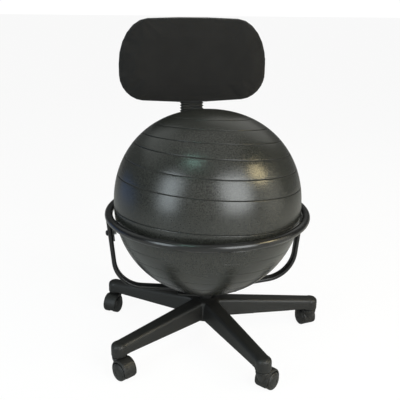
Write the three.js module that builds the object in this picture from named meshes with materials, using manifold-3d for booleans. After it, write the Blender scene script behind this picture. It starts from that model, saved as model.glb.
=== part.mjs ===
// Balance ball chair: an inflated ball held by a steel ring, on a five-legged base with twin-wheel
// casters, with a small upholstered backrest on a flat steel bar. Millimetres, +Z up, the sitter faces -Y.
// The origin is on the floor at the middle of the whole chair's box; pieces are first placed about the
// base's axis and then moved there together.
import * as THREE from 'three';
import { mergeVertices } from 'three/addons/utils/BufferGeometryUtils.js';
import Module from 'manifold-3d';

const wasm = await Module();
wasm.setup();

// Fits shared by all pieces
const DEG = Math.PI / 180;
const SEAT_GAP = 0.3;
const RUN_GAP = 0.4;
const SAME = 1e-6;
const OVERRUN = 2;
const WELD_BITE = 1.5;

// Casters
const WHEEL_R = 25;
const WHEEL_SEGMENTS = 16;
const WHEEL_CHAMFER = 1;
const TREAD_WIDTH = 10;
const DOME_DEPTH = 8.8;
const WEB_HALF = 6;
const WHEEL_SIDE_GAP = 0.6;
const AXLE_R = 3;
const AXLE_INSET = 5;
const CASTER_TRAIL = 20;
const HOOD_GAP = 1.2;
const HOOD_WALL = 2.6;
const HOOD_EDGE = 1.4;
const HOOD_HALF = 20;
const HOOD_FROM_DEG = -22;
const HOOD_TO_DEG = 205;
const HOOD_STEPS = 9;
const HOOD_BORE_SEGMENTS = 18;
const WEB_FLOOR_GAP = 9.5;
const NECK_R = 19.5;
const NECK_HEIGHT = 32;
const NECK_SEGMENTS = 12;
const CASTER_BOSS_TOP = 58;
const PIVOT_R = 3.5;
const PIVOT_DEPTH = 19;
const COLLAR_R = 8;
const COLLAR_HEIGHT = 1.4;
const STEM_R = 5.5;
const STEM_LENGTH = 27;
const STEM_TIP = 3;
const STEM_SEGMENTS = 10;
// Swivel of each caster's trail, in turn from the leg on the right, as the chair was left standing
const CASTER_TURNS_DEG = [104, 200, 240, 305, 40];

// Five-legged base
const LEG_COUNT = 5;
const LEG_TURN_DEG = -0.8;
const LEG_REACH = 321;
const LEG_ROOT = 49;
const LEG_ROOT_HALF = 28.5;
const LEG_TIP_HALF = 21;
const LEG_ROOT_DRAFT = 3.5;
const LEG_TIP_DRAFT = 0.5;
const LEG_ROOT_TOP = 116.5;
const LEG_TIP_TOP = 96.5;
const LEG_ROOT_BOTTOM = 67;
const LEG_TIP_BOTTOM = 65.5;
const LEG_ROUND = 7;
const LEG_ROUND_STEPS = 3;
const LEG_WALL = 4;
const RIB_WALL = 3;
const RIB_COUNT = 2;
const SOCKET_R = 21.3;
const SOCKET_ROUND = 8;
const SOCKET_SEGMENTS = 16;
const HUB_R = 52;
const HUB_BOTTOM = 62;
const HUB_RISE = 1;
const HUB_BOSS_R = 28;
const HUB_BOSS_HEIGHT = 18;
const HUB_ROUND = 3;
const HUB_SEGMENTS = 20;

// Post, plate and centre bolt
const POST_R = 21.5;
const POST_LENGTH = 62;
const POST_SEGMENTS = 16;
const PLATE_THICKNESS = 5;
const PLATE_FLAT_HALF = 26;
const PLATE_WING = 60;
const PLATE_HALF_WIDTH = 28;
const PLATE_TONGUE = 88;
const CENTRE_WASHER_R = 30;
const CENTRE_WASHER_THICKNESS = 3;
const CENTRE_BOLT_R = 5;
const CENTRE_BOLT_BITE = 18;

// Flat oval support bars
const BAR_WIDTH = 25.4;
const BAR_THICKNESS = 12.7;
const BAR_ROUND_POINTS = 4;
const BAR_OUTSET = 1.9;
const BAR_LEAN_DEG = 5.5;
const BAR_SLOPE_DEG = 6.7;
const BAR_BEND_R = 89;
const BAR_BEND_STEPS = 9;
const BAR_BOLT_DROP = 40;
const PLATE_BOLT_SHARES = [0.4, 0.82];

// Bolts, nuts and screws
const BOLT_R = 4;
const BOLT_HEAD_R = 6.5;
const BOLT_HEAD_HEIGHT = 5;
const BOLT_SEGMENTS = 8;
const BOLT_BITE = 8;
const DOME_R = 8;
const DOME_HEIGHT = 6;
const NUT_R = 7.2;
const NUT_HEIGHT = 6.5;
const SCREW_R = 2;
const SCREW_HEAD_R = 4.5;
const SCREW_HEAD_HEIGHT = 2.6;
const SCREW_BITE = 5;

// Ball
const BALL_R = 260;
const BALL_WALL = 1.5;
const BALL_SEGMENTS = 28;
const BALL_LEAN_BACK_DEG = 5.2;
const BALL_LEAN_SIDE_DEG = 3.2;
const GROOVE_HALF_WIDTH = 1.3;
const GROOVE_DEPTH = 0.8;
const UPPER_GROOVES = 6;
const UPPER_GROOVE_FIRST_DEG = 14;
const UPPER_GROOVE_STEP_DEG = 10.2;
const LOWER_GROOVES = 6;
const LOWER_GROOVE_FIRST_DEG = -6.4;
const LOWER_GROOVE_STEP_DEG = -8.9;
const PLAIN_RINGS_DEG = [-77, -68, 3.8, 72, 80];
const INNER_STEPS = 11;
const VALVE_HOLE_R = 4.2;
const PLUG_R = 6.5;
const PLUG_HEAD = 1.4;
const PLUG_LENGTH = 14;

// Ring
const RING_TUBE_R = 11;
const RING_BALL_GAP = 3.5;
const RING_DROP = 27;
const RING_SEGMENTS = 44;
const RING_TUBE_SEGMENTS = 8;
const LUG_THICKNESS = 4;
const LUG_BELOW_BOLT = 15;
const STANDOFF_R = 9;

// Back bar and its clip
const BACK_BAR_OUTSET = 28.5;
const BACK_BAR_WIDTH = 50;
const BACK_BAR_THICKNESS = 8;
const BACK_BAR_BEND_R = 95;
const BACK_BAR_START_GAP = 1.5;
const BACK_BAR_ABOVE_PAD_BOTTOM = 112;
const CLIP_HEIGHT = 7;

// Bellows
const BELLOWS_ABOVE_RING = 121;
const BELLOWS_WIDTH = 72;
const BELLOWS_DEPTH = 34;
const BELLOWS_FOLD = 4.5;
const BELLOWS_WALL = 1.2;
const BELLOWS_FOLDS = 16;
const BELLOWS_BORE_STEP = 5;
const BELLOWS_CORNER_SHARE = 0.55;

// Backrest pad
const PAD_WIDTH = 451;
const PAD_HEIGHT = 230;
const PAD_TOP_BULGE = 9;
const PAD_BOTTOM_BULGE = 14.4;
const PAD_CORNER = 70;
const PAD_UPPER_CORNER = [88, 127];
const PAD_LOWER_CORNER = [70, 71];
const PAD_ABOVE_RING = 260.5;
const PAD_TO_BAR = 38.2;
const PAD_THICKNESS = 25.2;
const PAD_CURVE = 12;
const PAD_EDGE_POINTS = 2;
const PAD_CORNER_POINTS = 7;
const BOARD_THICKNESS = 8;
const BOARD_INSET = 14;
const SHELL_WALL = 3;
const SHELL_BULGE = 12;
const SHELL_RIM = 6;
const HOUSING_HALF = 48;
const HOUSING_HEIGHT = 165;
const HOUSING_ROUND = 7;
const HOUSING_SHOULDER_SHARE = 0.6;
const HOUSING_TAPER = 0.85;
const SCREW_BOSS_R = 6;
const FACE_GAP = 0.4;
// Rings of the pad from its crown, as shares of the corner's radius and of the pad's thickness
const CROWN_INSET_SHARES = [0.8, 0.46, 0.2, 0.07, 0, 0.03, 0.09];
const CROWN_DEPTH_SHARES = [0.05, 0.13, 0.27, 0.45, 0.7, 0.9, 1];
const INNER_SCALE_SHARES = [0.4, 0.78];
const INNER_DEPTH_SHARES = [0, 0.02];
const SHELL_INSET_SHARES = [0, 0.05, 0.19, 0.46];
const SHELL_DEPTH_SHARES = [0.15, 0.5, 0.85, 1];
const SHELL_SCREW_X_SHARE = 0.33;
const SHELL_SCREW_Z_SHARE = 0.27;

// Bracket and height knob
const BRACKET_WALL = 2.5;
const BRACKET_HEIGHT = 96;
const BRACKET_ABOVE_PAD_BOTTOM = 14;
const BRACKET_FLANGE = 18;
const KNOB_R = 22;
const KNOB_GRIP = 18;
const KNOB_LOBES = 6;
const KNOB_LOBE_DEPTH = 2.5;
const KNOB_COLLAR_R = 11;
const KNOB_COLLAR = 5;
const KNOB_ABOVE_PAD_BOTTOM = 52;
const STUD_R = 4;

const material = (name, color, roughness, metalness) =>
  new THREE.MeshStandardMaterial({ name, color, roughness, metalness });
const nylon = material('nylon', 0x1d1d1c, 0.55, 0);
const wheelPlastic = material('wheel_plastic', 0x191919, 0.45, 0);
const blackPaint = material('black_paint', 0x121212, 0.25, 0.2);
const zinc = material('zinc', 0x8c8f92, 0.35, 0.9);
const blackSteel = material('black_steel', 0x151515, 0.4, 0.6);
const vinyl = material('vinyl', 0x3b3f40, 0.38, 0);
const plug = material('plug_plastic', 0x2a2c2d, 0.5, 0);
const cloth = material('cloth', 0x121212, 0.95, 0);
const plywood = material('plywood', 0xa98a5f, 0.8, 0);
const shellPlastic = material('shell_plastic', 0x161616, 0.6, 0);
const softPvc = material('soft_pvc', 0x171717, 0.7, 0);

// Closed meshes and cuts
const point = (x, y, z) => new THREE.Vector3(x, y, z);

function closed(points, triangles) {
  const flat = points.flatMap((p) => [p.x, p.y, p.z]);
  let volume = 0;
  for (const [a, b, c] of triangles) {
    volume += points[a].dot(points[b].clone().cross(points[c]));
  }
  const faces = volume < 0 ? triangles.map(([a, b, c]) => [a, c, b]) : triangles;
  const geometry = new THREE.BufferGeometry();
  geometry.setAttribute('position', new THREE.Float32BufferAttribute(flat, 3));
  geometry.setIndex(faces.flat());
  return geometry;
}

// Rings of equal point count joined in order; both ends are filled from each ring's own middle
function loft(rings) {
  const count = rings[0].length;
  const points = rings.flat();
  const triangles = [];
  for (let r = 0; r + 1 < rings.length; r += 1) {
    for (let k = 0; k < count; k += 1) {
      const a = r * count + k;
      const b = r * count + ((k + 1) % count);
      // Each four-sided patch is split along its shorter diagonal, so that two faces in contact match
      const rising = points[a].distanceTo(points[b + count]);
      const falling = points[b].distanceTo(points[a + count]);
      if (rising <= falling + SAME) triangles.push([a, b, b + count], [a, b + count, a + count]);
      else triangles.push([a, b, a + count], [b, b + count, a + count]);
    }
  }
  const addCap = (ring, first, flip) => {
    const middle = ring.reduce((sum, p) => sum.add(p), point(0, 0, 0)).divideScalar(count);
    points.push(middle);
    for (let k = 0; k < count; k += 1) {
      const a = first + k;
      const b = first + ((k + 1) % count);
      triangles.push(flip ? [points.length - 1, b, a] : [points.length - 1, a, b]);
    }
  };
  addCap(rings[0], 0, true);
  addCap(rings.at(-1), (rings.length - 1) * count, false);
  return closed(points, triangles);
}

// Rings joined in a loop, for a tube with a bore
function loop(rings) {
  const count = rings[0].length;
  const triangles = [];
  for (let r = 0; r < rings.length; r += 1) {
    const next = ((r + 1) % rings.length) * count;
    for (let k = 0; k < count; k += 1) {
      const step = (k + 1) % count;
      const [a, b] = [r * count + k, r * count + step];
      triangles.push([a, b, next + step], [a, next + step, next + k]);
    }
  }
  return closed(rings.flat(), triangles);
}

function welded(geometry) {
  const bare = geometry.clone();
  bare.deleteAttribute('normal');
  bare.deleteAttribute('uv');
  const merged = mergeVertices(bare, 1e-4);
  const index = merged.index.array;
  const kept = [];
  for (let k = 0; k < index.length; k += 3) {
    const [a, b, c] = [index[k], index[k + 1], index[k + 2]];
    if (a !== b && b !== c && a !== c) kept.push([a, b, c]);
  }
  const points = [];
  for (let k = 0; k < merged.attributes.position.count; k += 1) {
    points.push(new THREE.Vector3().fromBufferAttribute(merged.attributes.position, k));
  }
  return closed(points, kept);
}

function solid(geometry) {
  const g = welded(geometry);
  return new wasm.Manifold(new wasm.Mesh({
    numProp: 3,
    vertProperties: new Float32Array(g.attributes.position.array),
    triVerts: new Uint32Array(g.index.array),
  }));
}

function surface(body) {
  const got = body.getMesh();
  const geometry = new THREE.BufferGeometry();
  const positions = new Float32Array(got.numVert * 3);
  for (let v = 0; v < got.numVert; v += 1) {
    for (let axis = 0; axis < 3; axis += 1) {
      positions[v * 3 + axis] = got.vertProperties[v * got.numProp + axis];
    }
  }
  geometry.setAttribute('position', new THREE.BufferAttribute(positions, 3));
  geometry.setIndex(Array.from(got.triVerts));
  return geometry;
}

const joined = (geometries) => geometries.map(solid).reduce((sum, next) => sum.add(next));
const cut = (body, geometries) => geometries.map(solid).reduce((left, tool) => left.subtract(tool), body);

// Turned shape about +Z from radius and height pairs that start and end on the axis or close on themselves
function turned(profile, segments, turn = 0) {
  const outline = profile.map(([r, h]) => new THREE.Vector2(r, h));
  return welded(new THREE.LatheGeometry(outline, segments)).rotateX(Math.PI / 2).rotateZ(turn);
}

const rod = (radius, low, high, segments = BOLT_SEGMENTS) =>
  turned([[0, low], [radius, low], [radius, high], [0, high]], segments);

const box = (x0, x1, y0, y1, z0, z1) =>
  new THREE.BoxGeometry(x1 - x0, y1 - y0, z1 - z0).translate((x0 + x1) / 2, (y0 + y1) / 2, (z0 + z1) / 2);

function extruded(outline, depth) {
  const shape = new THREE.Shape(outline.map(([x, y]) => new THREE.Vector2(x, y)));
  return new THREE.ExtrudeGeometry(shape, { depth, bevelEnabled: false, curveSegments: 1 });
}

// The model's pieces go into this group, each under its own name
const chair = new THREE.Group();

function piece(name, geometry, finish, parent = chair) {
  const mesh = new THREE.Mesh(geometry, finish);
  mesh.name = name;
  parent.add(mesh);
  return mesh;
}

// A bolt along +Z: shank from below zero up to `bite`, head below zero
function hexBolt(bite, radius = BOLT_R, headRadius = BOLT_HEAD_R) {
  const head = rod(headRadius, -BOLT_HEAD_HEIGHT, 0, 6);
  return surface(joined([head, rod(radius, -BOLT_HEAD_HEIGHT / 2, bite)]));
}

function domeBolt(bite) {
  const steps = 4;
  const dome = [[0, -DOME_HEIGHT]];
  for (let k = 1; k <= steps; k += 1) {
    const a = (k / steps) * Math.PI / 2;
    dome.push([DOME_R * Math.sin(a), -DOME_HEIGHT * Math.cos(a)]);
  }
  return turned([...dome, [BOLT_R, 0], [BOLT_R, bite], [0, bite]], BOLT_SEGMENTS);
}

function screw(bite) {
  const head = [[0, -SCREW_HEAD_HEIGHT], [SCREW_HEAD_R * 0.7, -SCREW_HEAD_HEIGHT], [SCREW_HEAD_R, 0]];
  return turned([...head, [SCREW_R, 0], [SCREW_R, bite], [0, bite]], BOLT_SEGMENTS);
}

// Heights that stack up from the floor
const halfSegment = Math.PI / WHEEL_SEGMENTS;
const axleZ = WHEEL_R * Math.cos(halfSegment);
const collarBottom = CASTER_BOSS_TOP + SEAT_GAP;
const collarTop = collarBottom + COLLAR_HEIGHT;
const socketBottom = collarTop + SEAT_GAP;
const stemTop = collarTop + STEM_LENGTH;

// One twin-wheel caster in its own frame: stem on Z, axle along Y, trailing towards +X
const hoodInnerR = WHEEL_R + HOOD_GAP;
const hoodOuterR = hoodInnerR + HOOD_WALL;
const wheelInner = WEB_HALF + WHEEL_SIDE_GAP;
const wheelShoulder = wheelInner + WHEEL_CHAMFER + TREAD_WIDTH;
const wheelOuter = wheelShoulder + DOME_DEPTH;
// The hood rises from its ends to the height of its neck
const hoodRadius = (angle) =>
  hoodOuterR + (CASTER_BOSS_TOP - axleZ - hoodOuterR) * Math.max(0, Math.sin(angle * DEG)) ** 2;

function casterWheel() {
  const boreR = AXLE_R + RUN_GAP;
  const boreEnd = wheelOuter - AXLE_INSET;
  const profile = [
    [0, wheelOuter],
    [WHEEL_R * 0.5, wheelOuter - DOME_DEPTH * 0.05],
    [WHEEL_R * 0.85, wheelOuter - DOME_DEPTH * 0.27],
    [WHEEL_R * 0.965, wheelOuter - DOME_DEPTH * 0.62],
    [WHEEL_R, wheelShoulder],
    [WHEEL_R, wheelInner + WHEEL_CHAMFER],
    [WHEEL_R - WHEEL_CHAMFER, wheelInner],
    [boreR, wheelInner],
    [boreR, boreEnd],
    [0, boreEnd],
  ];
  // The turned axis is laid along Y with a flat of the tread on the floor
  return turned(profile, WHEEL_SEGMENTS, halfSegment).rotateX(-Math.PI / 2);
}

function casterHousing() {
  const onAxle = (angle, radius) => [
    CASTER_TRAIL + radius * Math.cos(angle * DEG),
    axleZ + radius * Math.sin(angle * DEG),
  ];
  const section = (outer) => [
    [-HOOD_HALF, hoodInnerR], [HOOD_HALF, hoodInnerR], [HOOD_HALF, outer - HOOD_EDGE],
    [HOOD_HALF - HOOD_WALL, outer], [-HOOD_HALF + HOOD_WALL, outer], [-HOOD_HALF, outer - HOOD_EDGE],
  ];
  const rings = [];
  const webOutline = [];
  for (let k = 0; k <= HOOD_STEPS; k += 1) {
    const angle = HOOD_FROM_DEG + (HOOD_TO_DEG - HOOD_FROM_DEG) * (k / HOOD_STEPS);
    rings.push(section(hoodRadius(angle)).map(([y, radius]) => {
      const [x, z] = onAxle(angle, radius);
      return point(x, y, z);
    }));
    webOutline.push(onAxle(angle, hoodInnerR + HOOD_WALL / 2));
  }
  // The web closes straight across below the axle, clear of the floor
  webOutline.push([CASTER_TRAIL - AXLE_R * 3, WEB_FLOOR_GAP], [CASTER_TRAIL + AXLE_R * 3, WEB_FLOOR_GAP]);
  const web = extruded(webOutline, WEB_HALF * 2).rotateX(Math.PI / 2).translate(0, WEB_HALF, 0);
  // The neck narrows from the stem's seat down to the hood's closed end
  const neckFoot = CASTER_BOSS_TOP - NECK_HEIGHT;
  const neck = turned([
    [0, neckFoot], [NECK_R * 0.45, neckFoot], [NECK_R * 0.78, CASTER_BOSS_TOP - NECK_HEIGHT * 0.55],
    [NECK_R, CASTER_BOSS_TOP - NECK_HEIGHT * 0.2], [NECK_R, CASTER_BOSS_TOP], [0, CASTER_BOSS_TOP],
  ], NECK_SEGMENTS);
  const alongAxle = (radius, y0, y1, segments) =>
    rod(radius, y0, y1, segments).rotateX(-Math.PI / 2).translate(CASTER_TRAIL, 0, axleZ);
  const wheelSpace = (side) => {
    const [a, b] = [WEB_HALF, wheelOuter].map((y) => y * side).sort((u, v) => u - v);
    return alongAxle(hoodInnerR, a, b, HOOD_BORE_SEGMENTS);
  };
  const pivotFoot = CASTER_BOSS_TOP - PIVOT_DEPTH;
  const pivotBore = rod(PIVOT_R + RUN_GAP, pivotFoot, CASTER_BOSS_TOP + OVERRUN, STEM_SEGMENTS);
  const axleBore = alongAxle(AXLE_R + RUN_GAP, -WEB_HALF - OVERRUN, WEB_HALF + OVERRUN, BOLT_SEGMENTS);
  const spaces = [wheelSpace(1), wheelSpace(-1), pivotBore, axleBore];
  return surface(cut(joined([loft(rings), web, neck]), spaces));
}

const casterStem = turned([
  [0, CASTER_BOSS_TOP - PIVOT_DEPTH + RUN_GAP], [PIVOT_R, CASTER_BOSS_TOP - PIVOT_DEPTH + RUN_GAP],
  [PIVOT_R, collarBottom], [COLLAR_R, collarBottom], [COLLAR_R, collarTop], [STEM_R, collarTop],
  [STEM_R, stemTop - STEM_TIP], [STEM_R - STEM_TIP / 2, stemTop], [0, stemTop],
], STEM_SEGMENTS);
const axleHalf = wheelOuter - AXLE_INSET - RUN_GAP;
const casterAxle = rod(AXLE_R, -axleHalf, axleHalf).rotateX(-Math.PI / 2).translate(CASTER_TRAIL, 0, axleZ);
const housingGeometry = casterHousing();
const wheelGeometry = casterWheel();

function legGroup(k) {
  const angle = (LEG_TURN_DEG + (360 / LEG_COUNT) * k) * DEG;
  const group = new THREE.Group();
  group.position.set(LEG_REACH * Math.cos(angle), LEG_REACH * Math.sin(angle), 0);
  chair.add(group);
  return group;
}

function addCaster(k) {
  const number = k + 1;
  const group = legGroup(k);
  group.rotation.z = CASTER_TURNS_DEG[k] * DEG;
  piece(`caster_${number}_stem`, casterStem, zinc, group);
  piece(`caster_${number}_housing`, housingGeometry, nylon, group);
  piece(`caster_${number}_axle`, casterAxle, zinc, group);
  const left = piece(`caster_${number}_wheel_left`, wheelGeometry, wheelPlastic, group);
  left.position.set(CASTER_TRAIL, 0, axleZ);
  const right = piece(`caster_${number}_wheel_right`, wheelGeometry, wheelPlastic, group);
  right.position.set(CASTER_TRAIL, 0, axleZ);
  right.rotation.z = Math.PI;
}

// Support bar line in a radial plane: it leans in from the ring, bends and slopes down to the plate
const slope = BAR_SLOPE_DEG * DEG;
const lean = BAR_LEAN_DEG * DEG;
const barHalf = BAR_THICKNESS / 2;
const hubBossTop = LEG_ROOT_TOP + HUB_BOSS_HEIGHT;
const plateFlatBottom = hubBossTop + SEAT_GAP;
const plateFlatTop = plateFlatBottom + PLATE_THICKNESS;
const barStart = PLATE_FLAT_HALF + SEAT_GAP;
// Height of the bar's middle line over the centre of the base, from where its lower face meets the wing
const barLineZ = plateFlatTop + SEAT_GAP + barHalf / Math.cos(slope) - PLATE_FLAT_HALF * Math.tan(slope);
const ballZ = barLineZ + (BALL_R + SEAT_GAP + barHalf) / Math.cos(slope);
const ringZ = ballZ - RING_DROP;
const ringR = BALL_R + RING_BALL_GAP + RING_TUBE_R;
const barTopReach = ringR + BAR_OUTSET;
const backBarY = ringR + BACK_BAR_OUTSET;
const padFront = backBarY - PAD_TO_BAR;
const padBottom = ringZ + PAD_ABOVE_RING;
const bellowsBottom = ringZ + BELLOWS_ABOVE_RING;
const barTopZ = ringZ - RING_TUBE_R - SEAT_GAP * 2;

function barLine() {
  const top = new THREE.Vector2(barTopReach, barTopZ);
  const down = new THREE.Vector2(-Math.sin(lean), -Math.cos(lean));
  const inward = new THREE.Vector2(-Math.cos(slope), -Math.sin(slope));
  // Both straight stretches meet at a corner, which the bend rounds
  const rise = top.y - barLineZ - top.x * Math.tan(slope);
  const run = rise / (Math.cos(lean) - Math.sin(lean) * Math.tan(slope));
  const corner = top.clone().addScaledVector(down, run);
  const turn = Math.acos(down.dot(inward));
  const tangent = BAR_BEND_R * Math.tan(turn / 2);
  const bendStart = corner.clone().addScaledVector(down, -tangent);
  const side = new THREE.Vector2(down.y, -down.x);
  const centre = bendStart.clone().addScaledVector(side, BAR_BEND_R);
  const line = [top];
  const first = bendStart.clone().sub(centre);
  for (let k = 0; k <= BAR_BEND_STEPS; k += 1) {
    line.push(first.clone().rotateAround(new THREE.Vector2(0, 0), -turn * (k / BAR_BEND_STEPS)).add(centre));
  }
  line.push(new THREE.Vector2(barStart, barLineZ + barStart * Math.tan(slope)));
  return line;
}

// Carries an outline of width and thickness pairs along a line in the X Z plane
function swept(line, section) {
  return loft(line.map((at, k) => {
    const before = line[Math.max(k - 1, 0)];
    const after = line[Math.min(k + 1, line.length - 1)];
    const along = after.clone().sub(before).normalize();
    const normal = new THREE.Vector2(-along.y, along.x);
    return section.map(([w, t]) => point(at.x + normal.x * t, w, at.y + normal.y * t));
  }));
}

function ovalSection() {
  const reach = BAR_WIDTH / 2 - barHalf;
  const outline = [];
  for (const side of [1, -1]) {
    for (let k = 0; k <= BAR_ROUND_POINTS; k += 1) {
      const a = (-0.5 + k / BAR_ROUND_POINTS) * Math.PI;
      outline.push([side * (reach + barHalf * Math.cos(a)), side * barHalf * Math.sin(a)]);
    }
  }
  return outline;
}

// Frame at the bar's upper bolt: Z points inwards through the bar
const barBolt = new THREE.Vector2(barTopReach, barTopZ)
  .addScaledVector(new THREE.Vector2(-Math.sin(lean), -Math.cos(lean)), BAR_BOLT_DROP);
function atBarBolt(geometry) {
  return geometry.clone().rotateY(-Math.PI / 2 + lean).translate(barBolt.x, 0, barBolt.y);
}
const lugNear = barHalf + SEAT_GAP;
const lugFar = lugNear + LUG_THICKNESS;

// Places along the sloping stretch, counted from the plate's bend, where the plate bolts enter from below
const plateBoltRuns = PLATE_BOLT_SHARES.map((share) => share * PLATE_WING);
function atPlateBolt(geometry, run) {
  const x = PLATE_FLAT_HALF + run * Math.cos(slope);
  const z = plateFlatBottom + run * Math.sin(slope);
  return geometry.clone().rotateY(-slope).translate(x, 0, z);
}

function supportBar() {
  const bar = solid(swept(barLine(), ovalSection()));
  const through = atBarBolt(rod(BOLT_R + RUN_GAP, -BAR_THICKNESS, BAR_THICKNESS));
  const plateHoles = plateBoltRuns.map((run) =>
    atPlateBolt(rod(BOLT_R + RUN_GAP, -OVERRUN, PLATE_THICKNESS + BOLT_BITE + RUN_GAP), run));
  return surface(cut(bar, [through, ...plateHoles]));
}

function addSupportBar(side, turn) {
  const group = new THREE.Group();
  group.rotation.z = turn;
  chair.add(group);
  piece(`support_bar_${side}`, supportBar(), blackPaint, group);
  const shank = BAR_THICKNESS + LUG_THICKNESS + SEAT_GAP * 3 + NUT_HEIGHT;
  const bolt = domeBolt(shank).translate(0, 0, -barHalf - SEAT_GAP);
  piece(`support_bolt_${side}`, atBarBolt(bolt), blackSteel, group);
  const nutHole = rod(BOLT_R + RUN_GAP, -OVERRUN, NUT_HEIGHT + OVERRUN);
  const nut = surface(cut(solid(rod(NUT_R, 0, NUT_HEIGHT, 6)), [nutHole]));
  piece(`support_nut_${side}`, atBarBolt(nut.translate(0, 0, lugFar + SEAT_GAP)), zinc, group);
  plateBoltRuns.forEach((run, k) => {
    const low = hexBolt(PLATE_THICKNESS + BOLT_BITE).translate(0, 0, -SEAT_GAP);
    piece(`plate_bolt_${side}_${k + 1}`, atPlateBolt(low, run), zinc, group);
  });
}

// Base: hub, tapered legs that are hollow and ribbed below, and a caster socket on each leg
const alongLeg = (x, root, tip) => root + (tip - root) * Math.max(0, (x - LEG_ROOT) / (LEG_REACH - LEG_ROOT));
const legTop = (x) => alongLeg(x, LEG_ROOT_TOP, LEG_TIP_TOP);
const legBottom = (x) => alongLeg(x, LEG_ROOT_BOTTOM, LEG_TIP_BOTTOM);

function legSection(x, inset, top, bottom) {
  const half = alongLeg(x, LEG_ROOT_HALF, LEG_TIP_HALF) - inset;
  const upperHalf = half - alongLeg(x, LEG_ROOT_DRAFT, LEG_TIP_DRAFT);
  const round = LEG_ROUND - inset / 2;
  const right = [];
  for (let k = 0; k <= LEG_ROUND_STEPS; k += 1) {
    const a = (k / LEG_ROUND_STEPS) * Math.PI / 2;
    right.push([upperHalf - round * (1 - Math.cos(a)), top - round * (1 - Math.sin(a))]);
  }
  const left = right.map(([y, z]) => [-y, z]).reverse();
  return [[half, bottom], ...right, ...left, [-half, bottom]].map(([y, z]) => point(x, y, z));
}

function legBeam() {
  return loft([0, LEG_ROOT, LEG_REACH].map((x) => legSection(x, 0, legTop(x), legBottom(x))));
}

function legPockets() {
  const from = HUB_R + RIB_WALL;
  const to = LEG_REACH - SOCKET_R - RIB_WALL;
  const pitch = (to - from) / RIB_COUNT;
  const pockets = [];
  for (let k = 0; k < RIB_COUNT; k += 1) {
    const ends = [from + pitch * k, from + pitch * (k + 1) - RIB_WALL];
    const hollow = (x) => legSection(x, LEG_WALL, legTop(x) - LEG_WALL, legBottom(x) - OVERRUN);
    pockets.push(loft(ends.map(hollow)));
  }
  return pockets;
}

function socketBody() {
  const round = [0.3, 0.6, 0.9].map((share) => {
    const a = share * Math.PI / 2;
    return [SOCKET_R - SOCKET_ROUND * (1 - Math.cos(a)), LEG_TIP_TOP - SOCKET_ROUND * (1 - Math.sin(a))];
  });
  const wall = [[0, socketBottom], [SOCKET_R, socketBottom], [SOCKET_R, LEG_TIP_TOP - SOCKET_ROUND]];
  const profile = [...wall, ...round, [0, LEG_TIP_TOP]];
  return turned(profile, SOCKET_SEGMENTS).translate(LEG_REACH, 0, 0);
}

function starBase() {
  const hubTop = LEG_ROOT_TOP + HUB_RISE;
  const hub = turned([
    [0, HUB_BOTTOM], [HUB_R, HUB_BOTTOM], [HUB_R, hubTop - HUB_ROUND], [HUB_R - HUB_ROUND, hubTop],
    [HUB_BOSS_R, hubTop], [HUB_BOSS_R, hubBossTop - HUB_ROUND], [HUB_BOSS_R - HUB_ROUND, hubBossTop],
    [0, hubBossTop],
  ], HUB_SEGMENTS);
  const turnLeg = (geometry, k) => geometry.clone().rotateZ((LEG_TURN_DEG + (360 / LEG_COUNT) * k) * DEG);
  const beams = [];
  const cuts = [];
  const stemHole = rod(STEM_R + RUN_GAP, socketBottom - OVERRUN, stemTop + OVERRUN, STEM_SEGMENTS);
  stemHole.translate(LEG_REACH, 0, 0);
  for (let k = 0; k < LEG_COUNT; k += 1) {
    beams.push(turnLeg(legBeam(), k), turnLeg(socketBody(), k));
    cuts.push(...legPockets().map((pocket) => turnLeg(pocket, k)), turnLeg(stemHole, k));
  }
  cuts.push(rod(POST_R + RUN_GAP, HUB_BOTTOM - OVERRUN, hubBossTop + OVERRUN, POST_SEGMENTS));
  return surface(cut(joined([hub, ...beams]), cuts));
}

// Steel plate with its two wings bent up under the bars, a tongue for the back bar and the post below
const tonguePitch = (PLATE_TONGUE - BAR_WIDTH / 2 - BACK_BAR_START_GAP) / 3;
const tongueBoltYs = [PLATE_TONGUE - tonguePitch * 1.6, PLATE_TONGUE - tonguePitch * 0.6];
function postPlate() {
  const wing = [PLATE_WING * Math.cos(slope), PLATE_WING * Math.sin(slope)];
  const across = [PLATE_THICKNESS * Math.sin(slope), PLATE_THICKNESS * Math.cos(slope)];
  const fold = PLATE_FLAT_HALF - PLATE_THICKNESS * Math.tan(slope / 2);
  const half = [
    [PLATE_FLAT_HALF, plateFlatBottom],
    [PLATE_FLAT_HALF + wing[0], plateFlatBottom + wing[1]],
    [PLATE_FLAT_HALF + wing[0] - across[0], plateFlatBottom + wing[1] + across[1]],
    [fold, plateFlatTop],
  ];
  const outline = [...half, ...half.map(([x, z]) => [-x, z]).reverse()];
  const cross = extruded(outline, PLATE_HALF_WIDTH * 2).rotateX(Math.PI / 2);
  cross.translate(0, PLATE_HALF_WIDTH, 0);
  const tongue = box(-fold, fold, 0, PLATE_TONGUE, plateFlatBottom, plateFlatTop);
  const postBottom = plateFlatBottom - POST_LENGTH;
  const post = rod(POST_R, postBottom, plateFlatBottom + WELD_BITE, POST_SEGMENTS);
  const holes = [];
  for (const turn of [0, Math.PI]) {
    for (const run of plateBoltRuns) {
      holes.push(atPlateBolt(rod(BOLT_R + RUN_GAP, -OVERRUN, PLATE_THICKNESS + OVERRUN), run).rotateZ(turn));
    }
  }
  for (const y of tongueBoltYs) {
    holes.push(rod(BOLT_R + RUN_GAP, plateFlatBottom - OVERRUN, plateFlatTop + OVERRUN).translate(0, y, 0));
  }
  holes.push(rod(CENTRE_BOLT_R + RUN_GAP, postBottom - OVERRUN, postBottom + CENTRE_BOLT_BITE + RUN_GAP));
  return surface(cut(joined([cross, tongue, post]), holes));
}

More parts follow.
